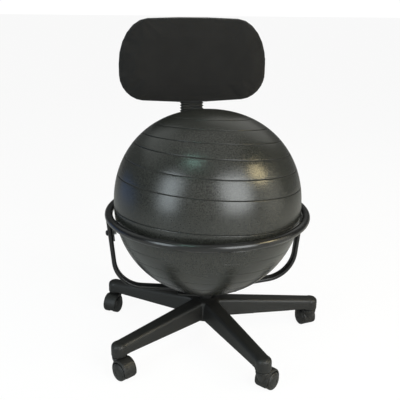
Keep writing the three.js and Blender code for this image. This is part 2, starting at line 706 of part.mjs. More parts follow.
function addCentreBolt() {
  const washerTop = HUB_BOTTOM - SEAT_GAP;
  const washerBottom = washerTop - CENTRE_WASHER_THICKNESS;
  const hole = rod(CENTRE_BOLT_R + RUN_GAP, washerBottom - OVERRUN, washerTop + OVERRUN);
  const washer = cut(solid(rod(CENTRE_WASHER_R, washerBottom, washerTop, POST_SEGMENTS)), [hole]);
  piece('centre_washer', surface(washer), zinc);
  const headTop = washerBottom - SEAT_GAP;
  const reach = plateFlatBottom - POST_LENGTH + CENTRE_BOLT_BITE - headTop;
  piece('centre_bolt', hexBolt(reach, CENTRE_BOLT_R, BOLT_HEAD_R * 1.3).translate(0, 0, headTop), zinc);
}

// Ball: a thin shell with shallow grooves round its own leaning axis, open at the valve below
function ballGeometry() {
  const innerR = BALL_R - BALL_WALL;
  const at = (radius, latitude) => [radius * Math.cos(latitude), radius * Math.sin(latitude)];
  const rings = PLAIN_RINGS_DEG.map((latitude) => [latitude * DEG, 0]);
  const addGrooves = (count, first, step) => {
    for (let k = 0; k < count; k += 1) {
      const latitude = (first + step * k) * DEG;
      const half = GROOVE_HALF_WIDTH / BALL_R;
      rings.push([latitude - half, 0], [latitude, GROOVE_DEPTH], [latitude + half, 0]);
    }
  };
  addGrooves(UPPER_GROOVES, UPPER_GROOVE_FIRST_DEG, UPPER_GROOVE_STEP_DEG);
  addGrooves(LOWER_GROOVES, LOWER_GROOVE_FIRST_DEG, LOWER_GROOVE_STEP_DEG);
  rings.sort((a, b) => a[0] - b[0]);
  const outer = rings.map(([latitude, depth]) => at(BALL_R - depth, latitude));
  const inner = [];
  for (let k = 1; k < INNER_STEPS; k += 1) {
    inner.push(at(innerR, Math.PI / 2 - (k / INNER_STEPS) * Math.PI));
  }
  const outerMouth = [VALVE_HOLE_R, -Math.sqrt(BALL_R ** 2 - VALVE_HOLE_R ** 2)];
  const innerMouth = [VALVE_HOLE_R, -Math.sqrt(innerR ** 2 - VALVE_HOLE_R ** 2)];
  const profile = [[0, innerR], ...inner, innerMouth, outerMouth, ...outer, [0, BALL_R]];
  return turned(profile, BALL_SEGMENTS);
}

function addBall() {
  const group = new THREE.Group();
  group.position.z = ballZ;
  group.rotation.set(-BALL_LEAN_BACK_DEG * DEG, BALL_LEAN_SIDE_DEG * DEG, 0);
  chair.add(group);
  piece('ball', ballGeometry(), vinyl, group);
  const stopper = turned([
    [0, -PLUG_HEAD], [PLUG_R * 0.8, -PLUG_HEAD], [PLUG_R, 0], [VALVE_HOLE_R - SEAT_GAP, 0],
    [VALVE_HOLE_R - SEAT_GAP, PLUG_LENGTH * 0.6], [VALVE_HOLE_R * 0.6, PLUG_LENGTH], [0, PLUG_LENGTH],
  ], BOLT_SEGMENTS);
  const seat = -BALL_R - SEAT_GAP;
  piece('valve_plug', stopper.translate(0, 0, seat), plug, group);
}

// Ring with a lug for each bar and a standoff for the back bar
function ringBody() {
  const tube = new THREE.TorusGeometry(ringR, RING_TUBE_R, RING_TUBE_SEGMENTS, RING_SEGMENTS);
  tube.translate(0, 0, ringZ);
  const lugTop = BAR_BOLT_DROP + RING_TUBE_R - WELD_BITE * 2;
  const round = BAR_WIDTH / 2;
  const outline = [[round, lugTop], [-round, lugTop]];
  for (let k = 0; k <= 6; k += 1) {
    const a = Math.PI + (k / 6) * Math.PI;
    outline.push([round * Math.cos(a), -LUG_BELOW_BOLT + round * 0.6 + round * 0.6 * Math.sin(a)]);
  }
  // The outline's width lies along Y and its length up the bar
  const plate = extruded(outline, LUG_THICKNESS).rotateZ(-Math.PI / 2).translate(0, 0, lugNear);
  const parts = [tube];
  const holes = [];
  for (const turn of [0, Math.PI]) {
    parts.push(atBarBolt(plate).rotateZ(turn));
    holes.push(atBarBolt(rod(BOLT_R + RUN_GAP, 0, lugFar + OVERRUN)).rotateZ(turn));
  }
  const face = backBarY - BACK_BAR_THICKNESS / 2 - SEAT_GAP;
  const standing = (geometry) => geometry.rotateX(-Math.PI / 2).translate(0, 0, ringZ);
  parts.push(standing(rod(STANDOFF_R, ringR, face, STEM_SEGMENTS)));
  holes.push(standing(rod(BOLT_R + RUN_GAP, face - BOLT_BITE - RUN_GAP, face + OVERRUN)));
  return surface(cut(joined(parts), holes));
}

// Back bar: level under the ball, then up behind it into the backrest
const backBarZ = plateFlatTop + SEAT_GAP + BACK_BAR_THICKNESS / 2;
const backBarTop = padBottom + BACK_BAR_ABOVE_PAD_BOTTOM;
const backBarBack = backBarY + BACK_BAR_THICKNESS / 2;
function backBar() {
  const start = BAR_WIDTH / 2 + BACK_BAR_START_GAP;
  const line = [new THREE.Vector2(start, backBarZ)];
  const steps = BAR_BEND_STEPS;
  for (let k = 0; k <= steps; k += 1) {
    const a = (k / steps) * Math.PI / 2;
    line.push(new THREE.Vector2(
      backBarY - BACK_BAR_BEND_R * (1 - Math.sin(a)),
      backBarZ + BACK_BAR_BEND_R * (1 - Math.cos(a)),
    ));
  }
  line.push(new THREE.Vector2(backBarY, backBarTop));
  const [w, t] = [BACK_BAR_WIDTH / 2, BACK_BAR_THICKNESS / 2];
  const bar = solid(swept(line, [[w, t], [-w, t], [-w, -t], [w, -t]]).rotateZ(Math.PI / 2));
  const holes = tongueBoltYs.map((y) =>
    rod(BOLT_R + RUN_GAP, plateFlatTop - OVERRUN, backBarZ + BACK_BAR_THICKNESS).translate(0, y, 0));
  holes.push(rod(BOLT_R + RUN_GAP, backBarY - BACK_BAR_THICKNESS, backBarY + BACK_BAR_THICKNESS)
    .rotateX(-Math.PI / 2).translate(0, 0, ringZ));
  return surface(cut(bar, holes));
}

function addBackBar() {
  piece('back_bar', backBar(), blackPaint);
  tongueBoltYs.forEach((y, k) => {
    const bolt = hexBolt(PLATE_THICKNESS + BACK_BAR_THICKNESS - SEAT_GAP);
    piece(`plate_bolt_back_${k + 1}`, bolt.translate(0, y, plateFlatBottom - SEAT_GAP), zinc);
  });
  // The bolt's head lies behind the bar and its shank points forwards
  const bolt = domeBolt(BACK_BAR_THICKNESS + SEAT_GAP * 2 + BOLT_BITE).rotateX(Math.PI / 2);
  piece('ring_bolt_back', bolt.translate(0, backBarBack + SEAT_GAP, ringZ), blackSteel);
  const top = bellowsBottom - SEAT_GAP;
  const aroundBar = (x, y, low, high) => box(-x, x, backBarY - y, backBarY + y, low, high);
  const clip = solid(aroundBar(BELLOWS_WIDTH / 2, BELLOWS_DEPTH / 2, top - CLIP_HEIGHT, top));
  const opening = [BACK_BAR_WIDTH / 2 + SEAT_GAP, BACK_BAR_THICKNESS / 2 + SEAT_GAP];
  const clipHole = aroundBar(...opening, top - CLIP_HEIGHT - OVERRUN, top + OVERRUN);
  piece('bellows_clip', surface(cut(clip, [clipHole])), shellPlastic);
}

// Bellows: folds outside, a plain bore inside, eight points to a ring
function bellows() {
  const top = padBottom - SEAT_GAP;
  const ring = (width, depth, z) => {
    const corner = BELLOWS_CORNER_SHARE * depth / 2;
    const [x, y] = [width / 2, depth / 2];
    const quarter = [[x, y - corner], [x - corner, y]];
    const outline = [
      ...quarter, ...quarter.map(([a, b]) => [-a, b]).reverse(),
      ...quarter.map(([a, b]) => [-a, -b]), ...quarter.map(([a, b]) => [a, -b]).reverse(),
    ];
    return outline.map(([a, b]) => point(a, backBarY + b, z));
  };
  const pitch = (top - bellowsBottom) / BELLOWS_FOLDS;
  const valley = [BELLOWS_WIDTH - BELLOWS_FOLD * 2, BELLOWS_DEPTH - BELLOWS_FOLD * 2];
  const rings = [ring(...valley, bellowsBottom)];
  for (let k = 0; k < BELLOWS_FOLDS; k += 1) {
    rings.push(ring(BELLOWS_WIDTH, BELLOWS_DEPTH, bellowsBottom + pitch * (k + 0.5)));
    rings.push(ring(...valley, bellowsBottom + pitch * (k + 1)));
  }
  for (let k = BELLOWS_FOLDS; k >= 0; k -= BELLOWS_BORE_STEP) {
    rings.push(ring(valley[0] - BELLOWS_WALL * 2, valley[1] - BELLOWS_WALL * 2, bellowsBottom + pitch * k));
  }
  rings.push(ring(valley[0] - BELLOWS_WALL * 2, valley[1] - BELLOWS_WALL * 2, bellowsBottom));
  return loop(rings);
}

// Backrest outline about the pad's middle: straight sides, elliptic corners, arched top and bottom edges.
// It can be drawn in by an inset and then scaled.
const padMiddleZ = padBottom + PAD_BOTTOM_BULGE + PAD_HEIGHT / 2;
const padBackY = padFront + PAD_THICKNESS;
const boardFrontY = padBackY + FACE_GAP;
const boardBackY = boardFrontY + BOARD_THICKNESS;
const padCurve = (x) => -PAD_CURVE * (x / (PAD_WIDTH / 2)) ** 2;

function padRing(inset, scale, y) {
  const ring = [];
  const place = (flatX, flatZ) => {
    const bulge = flatZ > 0 ? PAD_TOP_BULGE : PAD_BOTTOM_BULGE;
    const arch = bulge * (1 - (flatX / (PAD_WIDTH / 2)) ** 2) * (flatZ / (PAD_HEIGHT / 2));
    const x = flatX * scale;
    ring.push(point(x, y + padCurve(x), padMiddleZ + (flatZ + arch) * scale));
  };
  [[1, 1], [-1, 1], [-1, -1], [1, -1]].forEach(([sideX, sideZ], quarter) => {
    const [cornerX, cornerZ] = sideZ > 0 ? PAD_UPPER_CORNER : PAD_LOWER_CORNER;
    const middleX = sideX * (PAD_WIDTH / 2 - cornerX);
    const middleZ = sideZ * (PAD_HEIGHT / 2 - cornerZ);
    for (let k = 0; k < PAD_CORNER_POINTS; k += 1) {
      const a = (quarter + k / (PAD_CORNER_POINTS - 1)) * Math.PI / 2;
      place(middleX + (cornerX - inset) * Math.cos(a), middleZ + (cornerZ - inset) * Math.sin(a));
    }
    // The arched edges have a few points of their own between their two corners
    for (let k = 1; k <= PAD_EDGE_POINTS && sideX === sideZ; k += 1) {
      place(middleX * (1 - 2 * k / (PAD_EDGE_POINTS + 1)), middleZ + sideZ * (cornerZ - inset));
    }
  });
  return ring;
}

function cushion() {
  const depth = (share) => padFront + PAD_THICKNESS * share;
  const innermost = CROWN_INSET_SHARES[0] * PAD_CORNER;
  const rings = INNER_SCALE_SHARES.map((scale, k) => padRing(innermost, scale, depth(INNER_DEPTH_SHARES[k])));
  CROWN_INSET_SHARES.forEach((share, k) => {
    rings.push(padRing(share * PAD_CORNER, 1, depth(CROWN_DEPTH_SHARES[k])));
  });
  rings.push(...INNER_SCALE_SHARES.toReversed().map((scale) => padRing(innermost, scale, padBackY)));
  return loft(rings);
}

// Screws and bolts in the back, as x and z of their axes
const knobZ = padBottom + KNOB_ABOVE_PAD_BOTTOM;
const alongY = (radius, low, high, x, z, segments) =>
  rod(radius, low, high, segments).rotateX(-Math.PI / 2).translate(x, 0, z);
const shellScrews = [[-1, -1], [1, -1], [-1, 1], [1, 1]].map(([sx, sz]) =>
  [sx * PAD_WIDTH * SHELL_SCREW_X_SHARE, padMiddleZ + sz * PAD_HEIGHT * SHELL_SCREW_Z_SHARE]);
const bracketBottom = padBottom + BRACKET_ABOVE_PAD_BOTTOM;
const bracketInner = BACK_BAR_WIDTH / 2 + RUN_GAP;
const bracketScrews = [-1, 1].map((side) =>
  [side * (bracketInner + BRACKET_WALL / 2 + BRACKET_FLANGE / 2), bracketBottom + BRACKET_HEIGHT * 0.7]);

const innerPad = PAD_CORNER * CROWN_INSET_SHARES[0];
function backBoard() {
  const rings = INNER_SCALE_SHARES.map((scale) => padRing(innerPad, scale, boardFrontY));
  rings.push(padRing(BOARD_INSET, 1, boardFrontY), padRing(BOARD_INSET, 1, boardBackY));
  rings.push(...INNER_SCALE_SHARES.toReversed().map((scale) => padRing(innerPad, scale, boardBackY)));
  const holes = [...shellScrews, ...bracketScrews].map(([x, z]) => {
    const face = boardBackY + padCurve(x);
    return alongY(SCREW_R + RUN_GAP, face - SCREW_BITE - RUN_GAP, face + OVERRUN, x, z);
  });
  return surface(cut(solid(loft(rings)), holes));
}

// Rear shell: a dish over the board with a raised housing for bracket and bar, which enters through its floor
const shellFrontY = padBackY + FACE_GAP;
const shellBackY = backBarBack + BRACKET_WALL + SHELL_WALL + FACE_GAP * 3;
const housingBackY = shellBackY + SHELL_BULGE;
function shellDish(grow) {
  const depth = shellBackY - grow - shellFrontY;
  const rings = SHELL_INSET_SHARES.map((share, k) =>
    padRing(share * PAD_CORNER + grow, 1, shellFrontY + depth * SHELL_DEPTH_SHARES[k]));
  const inwards = INNER_SCALE_SHARES.toReversed();
  const back = inwards.map((scale) => padRing(innerPad + grow, scale, shellBackY - grow));
  return loft([padRing(grow, 1, shellFrontY - Math.sign(grow) * OVERRUN), ...rings, ...back]);
}

function shellHousing(grow) {
  const ring = (half, back, z) => {
    const [x, y] = [half - grow, back - grow];
    const front = shellFrontY + FACE_GAP + grow;
    return [
      [x, front], [x, y - HOUSING_ROUND], [x - HOUSING_ROUND, y],
      [-x + HOUSING_ROUND, y], [-x, y - HOUSING_ROUND], [-x, front],
    ].map(([a, b]) => point(a, b, z));
  };
  return loft([
    ring(HOUSING_HALF, housingBackY, padBottom + grow),
    ring(HOUSING_HALF, housingBackY, padBottom + HOUSING_HEIGHT * HOUSING_SHOULDER_SHARE),
    ring(HOUSING_HALF * HOUSING_TAPER, shellBackY + HOUSING_ROUND / 2, padBottom + HOUSING_HEIGHT - grow),
  ]);
}

const shellBack = (x) => shellBackY + padCurve(x);
function rearShell() {
  const outer = joined([shellDish(0), shellHousing(0)]);
  const slot = [BACK_BAR_WIDTH / 2 + SHELL_WALL, BACK_BAR_THICKNESS / 2 + SHELL_WALL];
  const across = [-slot[0], slot[0], backBarY - slot[1], backBarY + slot[1]];
  const slotBox = box(...across, padBottom - OVERRUN, padBottom + SHELL_RIM);
  const hollow = cut(outer, [shellDish(SHELL_WALL), shellHousing(SHELL_WALL), slotBox]);
  const bosses = shellScrews.map(([x, z]) =>
    alongY(SCREW_BOSS_R, boardBackY + padCurve(x) + FACE_GAP * 2, shellBack(x) - SHELL_WALL / 2, x, z));
  const holes = shellScrews.map(([x, z]) => alongY(SCREW_R + RUN_GAP, padBackY, shellBackY + OVERRUN, x, z));
  holes.push(alongY(STUD_R + RUN_GAP, shellBackY, housingBackY + OVERRUN, 0, knobZ));
  return surface(cut(joined(bosses).add(hollow), holes));
}

function addBackScrews() {
  const back = (geometry, x, y, z) => geometry.rotateX(Math.PI / 2).translate(x, y, z);
  shellScrews.forEach(([x, z], k) => {
    const seat = shellBack(x) + SEAT_GAP + SCREW_HEAD_R * Math.abs(padCurve(x) * 2 / x);
    const bite = seat - (boardBackY + padCurve(x) - SCREW_BITE);
    piece(`shell_screw_${k + 1}`, back(screw(bite), x, seat, z), blackSteel);
  });
  bracketScrews.forEach(([x, z], k) => {
    const seat = bracketFoot + BRACKET_WALL + SEAT_GAP;
    const bite = seat - (boardBackY + padCurve(x) - SCREW_BITE);
    piece(`bracket_screw_${k + 1}`, back(screw(bite), x, seat, z), zinc);
  });
}

// Bracket: a bent channel screwed to the board, which the bar slides through
const bracketFoot = boardBackY + FACE_GAP;
function bracket() {
  const innerHalf = bracketInner;
  const webFront = backBarBack + RUN_GAP;
  const foot = bracketFoot;
  const outline = [
    [innerHalf + BRACKET_FLANGE, foot], [innerHalf, foot], [innerHalf, webFront],
    [-innerHalf, webFront], [-innerHalf, foot], [-innerHalf - BRACKET_FLANGE, foot],
    [-innerHalf - BRACKET_FLANGE, foot + BRACKET_WALL], [-innerHalf - BRACKET_WALL, foot + BRACKET_WALL],
    [-innerHalf - BRACKET_WALL, webFront + BRACKET_WALL], [innerHalf + BRACKET_WALL, webFront + BRACKET_WALL],
    [innerHalf + BRACKET_WALL, foot + BRACKET_WALL], [innerHalf + BRACKET_FLANGE, foot + BRACKET_WALL],
  ];
  const channel = solid(extruded(outline, BRACKET_HEIGHT).translate(0, 0, bracketBottom));
  const webBack = webFront + BRACKET_WALL;
  const nut = solid(alongY(NUT_R, webBack - BRACKET_WALL / 2, webBack + NUT_HEIGHT, 0, knobZ, 6));
  const holes = [alongY(STUD_R + RUN_GAP, webFront - OVERRUN, webBack + NUT_HEIGHT + OVERRUN, 0, knobZ)];
  const flangeBack = foot + BRACKET_WALL + OVERRUN;
  holes.push(...bracketScrews.map(([x, z]) => alongY(SCREW_R + RUN_GAP, foot - OVERRUN, flangeBack, x, z)));
  return surface(cut(channel.add(nut), holes));
}

function heightKnob() {
  const lobes = 4;
  const outline = [];
  for (let k = 0; k < KNOB_LOBES * lobes; k += 1) {
    const a = (k / (KNOB_LOBES * lobes)) * 2 * Math.PI;
    const r = KNOB_R - KNOB_LOBE_DEPTH * (0.5 - 0.5 * Math.cos(a * KNOB_LOBES));
    outline.push([r * Math.cos(a), r * Math.sin(a)]);
  }
  const grip = extruded(outline, KNOB_GRIP).translate(0, 0, KNOB_COLLAR);
  const collar = rod(KNOB_COLLAR_R, 0, KNOB_COLLAR + WELD_BITE, POST_SEGMENTS);
  const stud = rod(STUD_R, backBarBack - housingBackY, WELD_BITE);
  const knob = surface(joined([grip, collar, stud])).rotateX(-Math.PI / 2);
  return knob.translate(0, housingBackY + SEAT_GAP, knobZ);
}

function addBackrest() {
  piece('bellows', bellows(), softPvc);
  piece('back_cushion', cushion(), cloth);
  piece('back_board', backBoard(), plywood);
  piece('back_shell', rearShell(), shellPlastic);
  piece('back_bracket', bracket(), blackPaint);
  piece('height_knob', heightKnob(), shellPlastic);
  addBackScrews();
}

piece('star_base', starBase(), nylon);
piece('post_plate', postPlate(), blackPaint);
addCentreBolt();
for (let k = 0; k < LEG_COUNT; k += 1) addCaster(k);
addSupportBar('right', 0);
addSupportBar('left', Math.PI);
piece('ring', ringBody(), blackPaint);
addBall();
addBackBar();
addBackrest();

// The base's axis goes to its place beside the origin
const middle = new THREE.Box3().setFromObject(chair, true).getCenter(new THREE.Vector3());
for (const child of chair.children) {
  child.position.x -= middle.x;
  child.position.y -= middle.y;
}

export default chair;
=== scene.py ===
"""Looks of the balance ball chair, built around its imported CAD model: metres, +Z up, facing -Y."""

import math

import bmesh
import bpy
import numpy as np
from mathutils import Matrix, Vector


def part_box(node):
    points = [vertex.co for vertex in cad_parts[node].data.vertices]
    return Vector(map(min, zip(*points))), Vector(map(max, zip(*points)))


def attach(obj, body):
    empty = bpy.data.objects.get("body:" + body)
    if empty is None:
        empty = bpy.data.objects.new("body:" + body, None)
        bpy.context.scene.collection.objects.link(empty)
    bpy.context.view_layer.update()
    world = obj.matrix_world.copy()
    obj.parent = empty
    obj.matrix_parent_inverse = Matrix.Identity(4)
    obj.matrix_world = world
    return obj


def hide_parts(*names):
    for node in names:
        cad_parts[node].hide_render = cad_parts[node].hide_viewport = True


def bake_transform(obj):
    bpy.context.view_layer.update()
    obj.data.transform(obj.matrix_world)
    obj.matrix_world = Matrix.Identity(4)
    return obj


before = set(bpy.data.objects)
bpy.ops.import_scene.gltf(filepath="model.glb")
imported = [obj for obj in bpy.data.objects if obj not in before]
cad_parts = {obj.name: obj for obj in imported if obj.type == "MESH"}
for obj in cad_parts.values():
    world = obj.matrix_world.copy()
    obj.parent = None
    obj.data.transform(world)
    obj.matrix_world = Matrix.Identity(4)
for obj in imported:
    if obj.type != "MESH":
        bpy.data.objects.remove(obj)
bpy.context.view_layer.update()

# Sizes of pieces are in millimetres, meshes and the frame's boxes in metres
MM = 0.001
TURN, QUARTER = 2 * math.pi, math.pi / 2
TINY = 1e-6


def middle(node):
    """The middle of a CAD node's box, in metres."""
    low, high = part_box(node)
    return (low + high) / 2


def bottom_of(node):
    """Height of a CAD node's underside, in millimetres."""
    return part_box(node)[0].z / MM


def top_of(node):
    """Height of a CAD node's top, in millimetres."""
    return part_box(node)[1].z / MM


def spaced(first, last, steps):
    """Evenly spaced values from first to last, both included."""
    return [first + (last - first) * k / steps for k in range(steps + 1)]


def polar(radius, angle):
    """The two flat coordinates of a point on a circle."""
    return radius * math.cos(angle), radius * math.sin(angle)


# Places that the CAD model gives, and sizes that several pieces share
BASE_AXIS = Vector((middle("centre_washer").x, middle("centre_washer").y, 0))
BASE = Matrix.Translation(BASE_AXIS / MM)
RING_TUBE = 11.0
RING_PLANE = top_of("ring") - RING_TUBE
BALL_RADIUS = 260.0
BALL_MIDDLE = RING_PLANE + 27.0
RING_RADIUS = BALL_RADIUS + 3.5 + RING_TUBE
BAR_THICKNESS, BAR_WIDTH = 12.7, 25.4
BACK_BAR_THICKNESS, BACK_BAR_WIDTH = 8.0, 50.0
BACK_BAR_MIDDLE = RING_RADIUS + 28.5
# Pieces that are bolted on each other lie this far apart
GAP = 0.3
PLATE_FLAT_TOP = bottom_of("back_bar") - GAP


class Shade:
    """An output of a node, on which sums can be written."""

    def __init__(self, nodes, socket):
        self.nodes = nodes
        self.socket = socket

    def maths(self, operation, *values):
        return self.nodes.node("ShaderNodeMath", {"operation": operation}, dict(enumerate(values)))

    def __add__(self, other):
        return self.maths("ADD", self, other)

    def __radd__(self, other):
        return self.maths("ADD", other, self)

    def __sub__(self, other):
        return self.maths("SUBTRACT", self, other)

    def __rsub__(self, other):
        return self.maths("SUBTRACT", other, self)

    def __mul__(self, other):
        return self.maths("MULTIPLY", self, other)

    def __rmul__(self, other):
        return self.maths("MULTIPLY", other, self)

    def sine(self):
        return self.maths("SINE", self)

    def most(self, other):
        """The larger of two."""
        return self.maths("MAXIMUM", self, other)

    def within(self, low, high):
        """0 at low, 1 at high, level outside."""
        ends = {"Value": self, "From Min": low, "From Max": high}
        return self.nodes.node("ShaderNodeMapRange", {"clamp": True}, ends)


class Nodes:
    """The node tree of a material or a world."""

    def __init__(self, owner):
        owner.use_nodes = True
        self.tree = owner.node_tree

    def link(self, value, socket):
        if isinstance(value, Shade):
            self.tree.links.new(value.socket, socket)
        else:
            socket.default_value = value

    def node(self, kind, settings, sockets, out=0):
        """A node with its settings, and values or links for its sockets by name or number."""
        made = self.tree.nodes.new(kind)
        for key, value in settings.items():
            setattr(made, key, value)
        for key, value in sockets.items():
            self.link(value, made.inputs[key])
        return Shade(self, made.outputs[out])


class Finish(Nodes):
    """A procedural material whose fixed values sit on the shader's own sockets."""

    def __init__(self, name, **fixed):
        self.material = bpy.data.materials.new(name)
        super().__init__(self.material)
        self.shader = self.tree.nodes["Principled BSDF"]
        for socket, value in fixed.items():
            self.drive(socket.replace("_", " "), value)
        self.place = self.node("ShaderNodeTexCoord", {}, {}, out="Object")

    def drive(self, socket, value):
        self.link(value, self.shader.inputs[socket])

    def noise(self, scale, detail, roughness=0.5, stretch=(1, 1, 1)):
        place = self.node("ShaderNodeMapping", {}, {"Vector": self.place, "Scale": stretch})
        sockets = {"Vector": place, "Scale": scale, "Detail": detail, "Roughness": roughness}
        return self.node("ShaderNodeTexNoise", {}, sockets)

    def colour(self, factor, dark, light):
        """Base colour as a blend of two colours by a factor."""
        sockets = {0: factor, 6: (*dark, 1), 7: (*light, 1)}
        self.drive("Base Color", self.node("ShaderNodeMix", {"data_type": "RGBA"}, sockets, out=2))

    def relief(self, height, distance, strength):
        """Small surface relief, distance in metres for a height of one."""
        sockets = {"Strength": strength, "Distance": distance, "Height": height}
        self.drive("Normal", self.node("ShaderNodeBump", {}, sockets))

    def edge_wear(self):
        """Close to 1 on outward edges and 0 elsewhere."""
        pointed = self.node("ShaderNodeNewGeometry", {}, {}, out="Pointiness")
        return pointed.within(0.52, 0.62)


def ball_vinyl():
    finish = Finish("ball_vinyl", Coat_Roughness=0.5)
    pebble = finish.noise(330, 2, 0.6)
    grain = finish.noise(1100, 2)
    cloud = finish.noise(7, 3)
    shade = cloud * 0.3 + pebble.within(0.32, 0.68) * 0.7
    finish.colour(shade, (0.004, 0.0042, 0.0036), (0.034, 0.0345, 0.03))
    finish.drive("Roughness", 0.2 + cloud * 0.05 + pebble * 0.05)
    finish.relief(pebble * 0.7 + grain * 0.3, 0.0006, 0.6)
    return finish.material


def painted_groove_shade():
    """Painted shade for the bottom of the grooves: a dark, dull colour for the little light that gets
    in there.
    """
    finish = Finish("painted_groove_shade", Specular_IOR_Level=0.12)
    mottle = finish.noise(140, 4)
    finish.colour(mottle, (0.006, 0.006, 0.0055), (0.016, 0.016, 0.015))
    finish.drive("Roughness", 0.55 + mottle * 0.2)
    finish.relief(mottle, 0.0002, 0.4)
    return finish.material


def black_paint(name, rough, gloss, coat):
    finish = Finish(name, Specular_IOR_Level=gloss, Coat_Weight=coat, Coat_Roughness=0.14)
    peel = finish.noise(260, 2)
    mottle = finish.noise(30, 5)
    finish.colour(mottle, (0.004, 0.004, 0.004), (0.009, 0.009, 0.009))
    finish.drive("Roughness", rough + mottle * 0.08)
    finish.relief(peel, 0.0003, 0.25)
    return finish.material


def moulded(name, dark, light, rough, grain_scale, grain_depth, gloss):
    finish = Finish(name, Specular_IOR_Level=gloss)
    grain = finish.noise(grain_scale, 2)
    cloud = finish.noise(16, 4)
    wear = finish.edge_wear()
    finish.colour(cloud * 0.6 + wear * 0.35, dark, light)
    finish.drive("Roughness", rough + cloud * 0.12 - wear * 0.06)
    finish.relief(grain, grain_depth, 0.6)
    return finish.material


def woven_cloth():
    sheen = {"Sheen_Weight": 0.18, "Sheen_Roughness": 0.5, "Sheen_Tint": (0.34, 0.325, 0.32, 1)}
    finish = Finish("woven_cloth", Roughness=0.95, Specular_IOR_Level=0.2, **sheen)
    thread = 0.0022

    def waves(axis):
        place = finish.node("ShaderNodeSeparateXYZ", {}, {0: finish.place}, out=axis)
        return (place * (TURN / thread)).sine()

    weave = waves("X") * waves("Z")
    fuzz = finish.noise(1800, 3)
    cloud = finish.noise(22, 4)
    height = weave * 0.5 + fuzz * 0.7
    finish.colour(height * 0.4 + cloud * 0.5, (0.0056, 0.0052, 0.0052), (0.0165, 0.016, 0.0155))
    finish.relief(height, 0.0004, 0.8)
    return finish.material


def plated_steel():
    finish = Finish("zinc_plate", Metallic=1.0)
    brushed = finish.noise(400, 4, 0.6, (1, 1, 0.1))
    cloud = finish.noise(60, 3)
    finish.colour(cloud, (0.36, 0.37, 0.38), (0.6, 0.6, 0.58))
    finish.drive("Roughness", 0.25 + brushed * 0.2)
    finish.relief(brushed, 0.0002, 0.3)
    return finish.material


def dark_steel():
    finish = Finish("black_oxide", Metallic=0.7)
    cloud = finish.noise(200, 4)
    finish.colour(cloud * 0.5 + finish.edge_wear() * 0.3, (0.012, 0.012, 0.013), (0.05, 0.05, 0.05))
    finish.drive("Roughness", 0.3 + cloud * 0.2)
    finish.relief(cloud, 0.0002, 0.3)
    return finish.material


def bare_plywood():
    finish = Finish("bare_plywood")
    rings = finish.noise(18, 6, 0.6, (0.25, 4, 3))
    plies = finish.noise(60, 1, 0.5, (0.05, 14, 0.05))
    finish.colour(rings * 0.6 + plies * 0.4, (0.2, 0.12, 0.055), (0.52, 0.38, 0.2))
    finish.drive("Roughness", 0.6 + rings * 0.2)
    finish.relief(rings, 0.0006, 0.4)
    return finish.material


VINYL = ball_vinyl()
# Painted shade: the dark colour given to the bottoms of the ball's grooves
GROOVE = painted_groove_shade()
RING_PAINT = black_paint("gloss_black_paint", 0.22, 0.44, 0.15)
PAINT = black_paint("satin_black_paint", 0.36, 0.34, 0.04)
# Darkest and lightest colour, roughness, scale and depth of the grain, and gloss
CASTER_TONES = (0.007, 0.0068, 0.0064), (0.016, 0.0155, 0.014)
NYLON = moulded("base_nylon", (0.006, 0.006, 0.0055), (0.015, 0.0148, 0.0134), 0.42, 1500, 0.0002, 0.38)
WHEEL = moulded("wheel_nylon", *CASTER_TONES, 0.44, 1100, 0.0002, 0.38)
SHELL = moulded("shell_moulding", (0.008, 0.008, 0.008), (0.018, 0.018, 0.018), 0.55, 900, 0.0004, 0.5)
HOOD = moulded("hood_nylon", *CASTER_TONES, 0.44, 1300, 0.0002, 0.36)
SOFT = moulded("bellows_moulding", (0.005, 0.005, 0.005), (0.011, 0.011, 0.01), 0.6, 700, 0.0002, 0.36)
CLOTH = woven_cloth()
ZINC = plated_steel()
OXIDE = dark_steel()
PLYWOOD = bare_plywood()


# Meshes
def placed(name, data):
    """A new object of the scene with its mesh, lamp or camera."""
    made = bpy.data.objects.new(name, data)
    bpy.context.scene.collection.objects.link(made)
    return made


def applied(made):
    """The mesh of an object with its modifiers applied. The object itself goes."""
    bpy.context.view_layer.update()
    shown = made.evaluated_get(bpy.context.evaluated_depsgraph_get())
    mesh = bpy.data.meshes.new_from_object(shown)
    bpy.data.objects.remove(made)
    return mesh


def mesh_of(name, points, faces):
    mesh = bpy.data.meshes.new(name)
    mesh.from_pydata([tuple(p) for p in points], [], faces)
    return mesh


def face_outwards(mesh, merged):
    """Turns a mesh's faces outwards, after merging the points that coincide where asked."""
    shape = bmesh.new()
    shape.from_mesh(mesh)
    if merged:
        bmesh.ops.remove_doubles(shape, verts=shape.verts, dist=TINY)
    bmesh.ops.recalc_face_normals(shape, faces=shape.faces)
    shape.to_mesh(mesh)
    shape.free()


def dress(name, mesh, material, body, smooth):
    """A piece of a material that rides a body, smooth up to an angle in degrees between faces."""
    face_outwards(mesh, merged=True)
    mesh.materials.clear()
    mesh.materials.append(material)
    mesh.shade_smooth()
    mesh.set_sharp_from_angle(angle=math.radians(smooth))
    made = placed(name, mesh)
    if body:
        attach(made, body)
    return made


def piece(name, points, faces, material, body, smooth):
    return dress(name, mesh_of(name, points, faces), material, body, smooth)


def solid(points, faces):
    mesh = mesh_of("tool", points, faces)
    face_outwards(mesh, merged=False)
    return placed("tool", mesh)


def loft(rings, around=False):
    """Points and faces of equal rings joined in order, filled at both ends or joined all round."""
    count = len(rings[0])
    points = [p for ring in rings for p in ring]
    faces = []
    for r in range(len(rings) if around else len(rings) - 1):
        here, there = r * count, (r + 1) % len(rings) * count
        for k in range(count):
            after = (k + 1) % count
            faces.append((here + k, here + after, there + after, there + k))
    if not around:
        faces.append(tuple(range(count))[::-1])
        faces.append(tuple(range(len(points) - count, len(points))))
    return points, faces


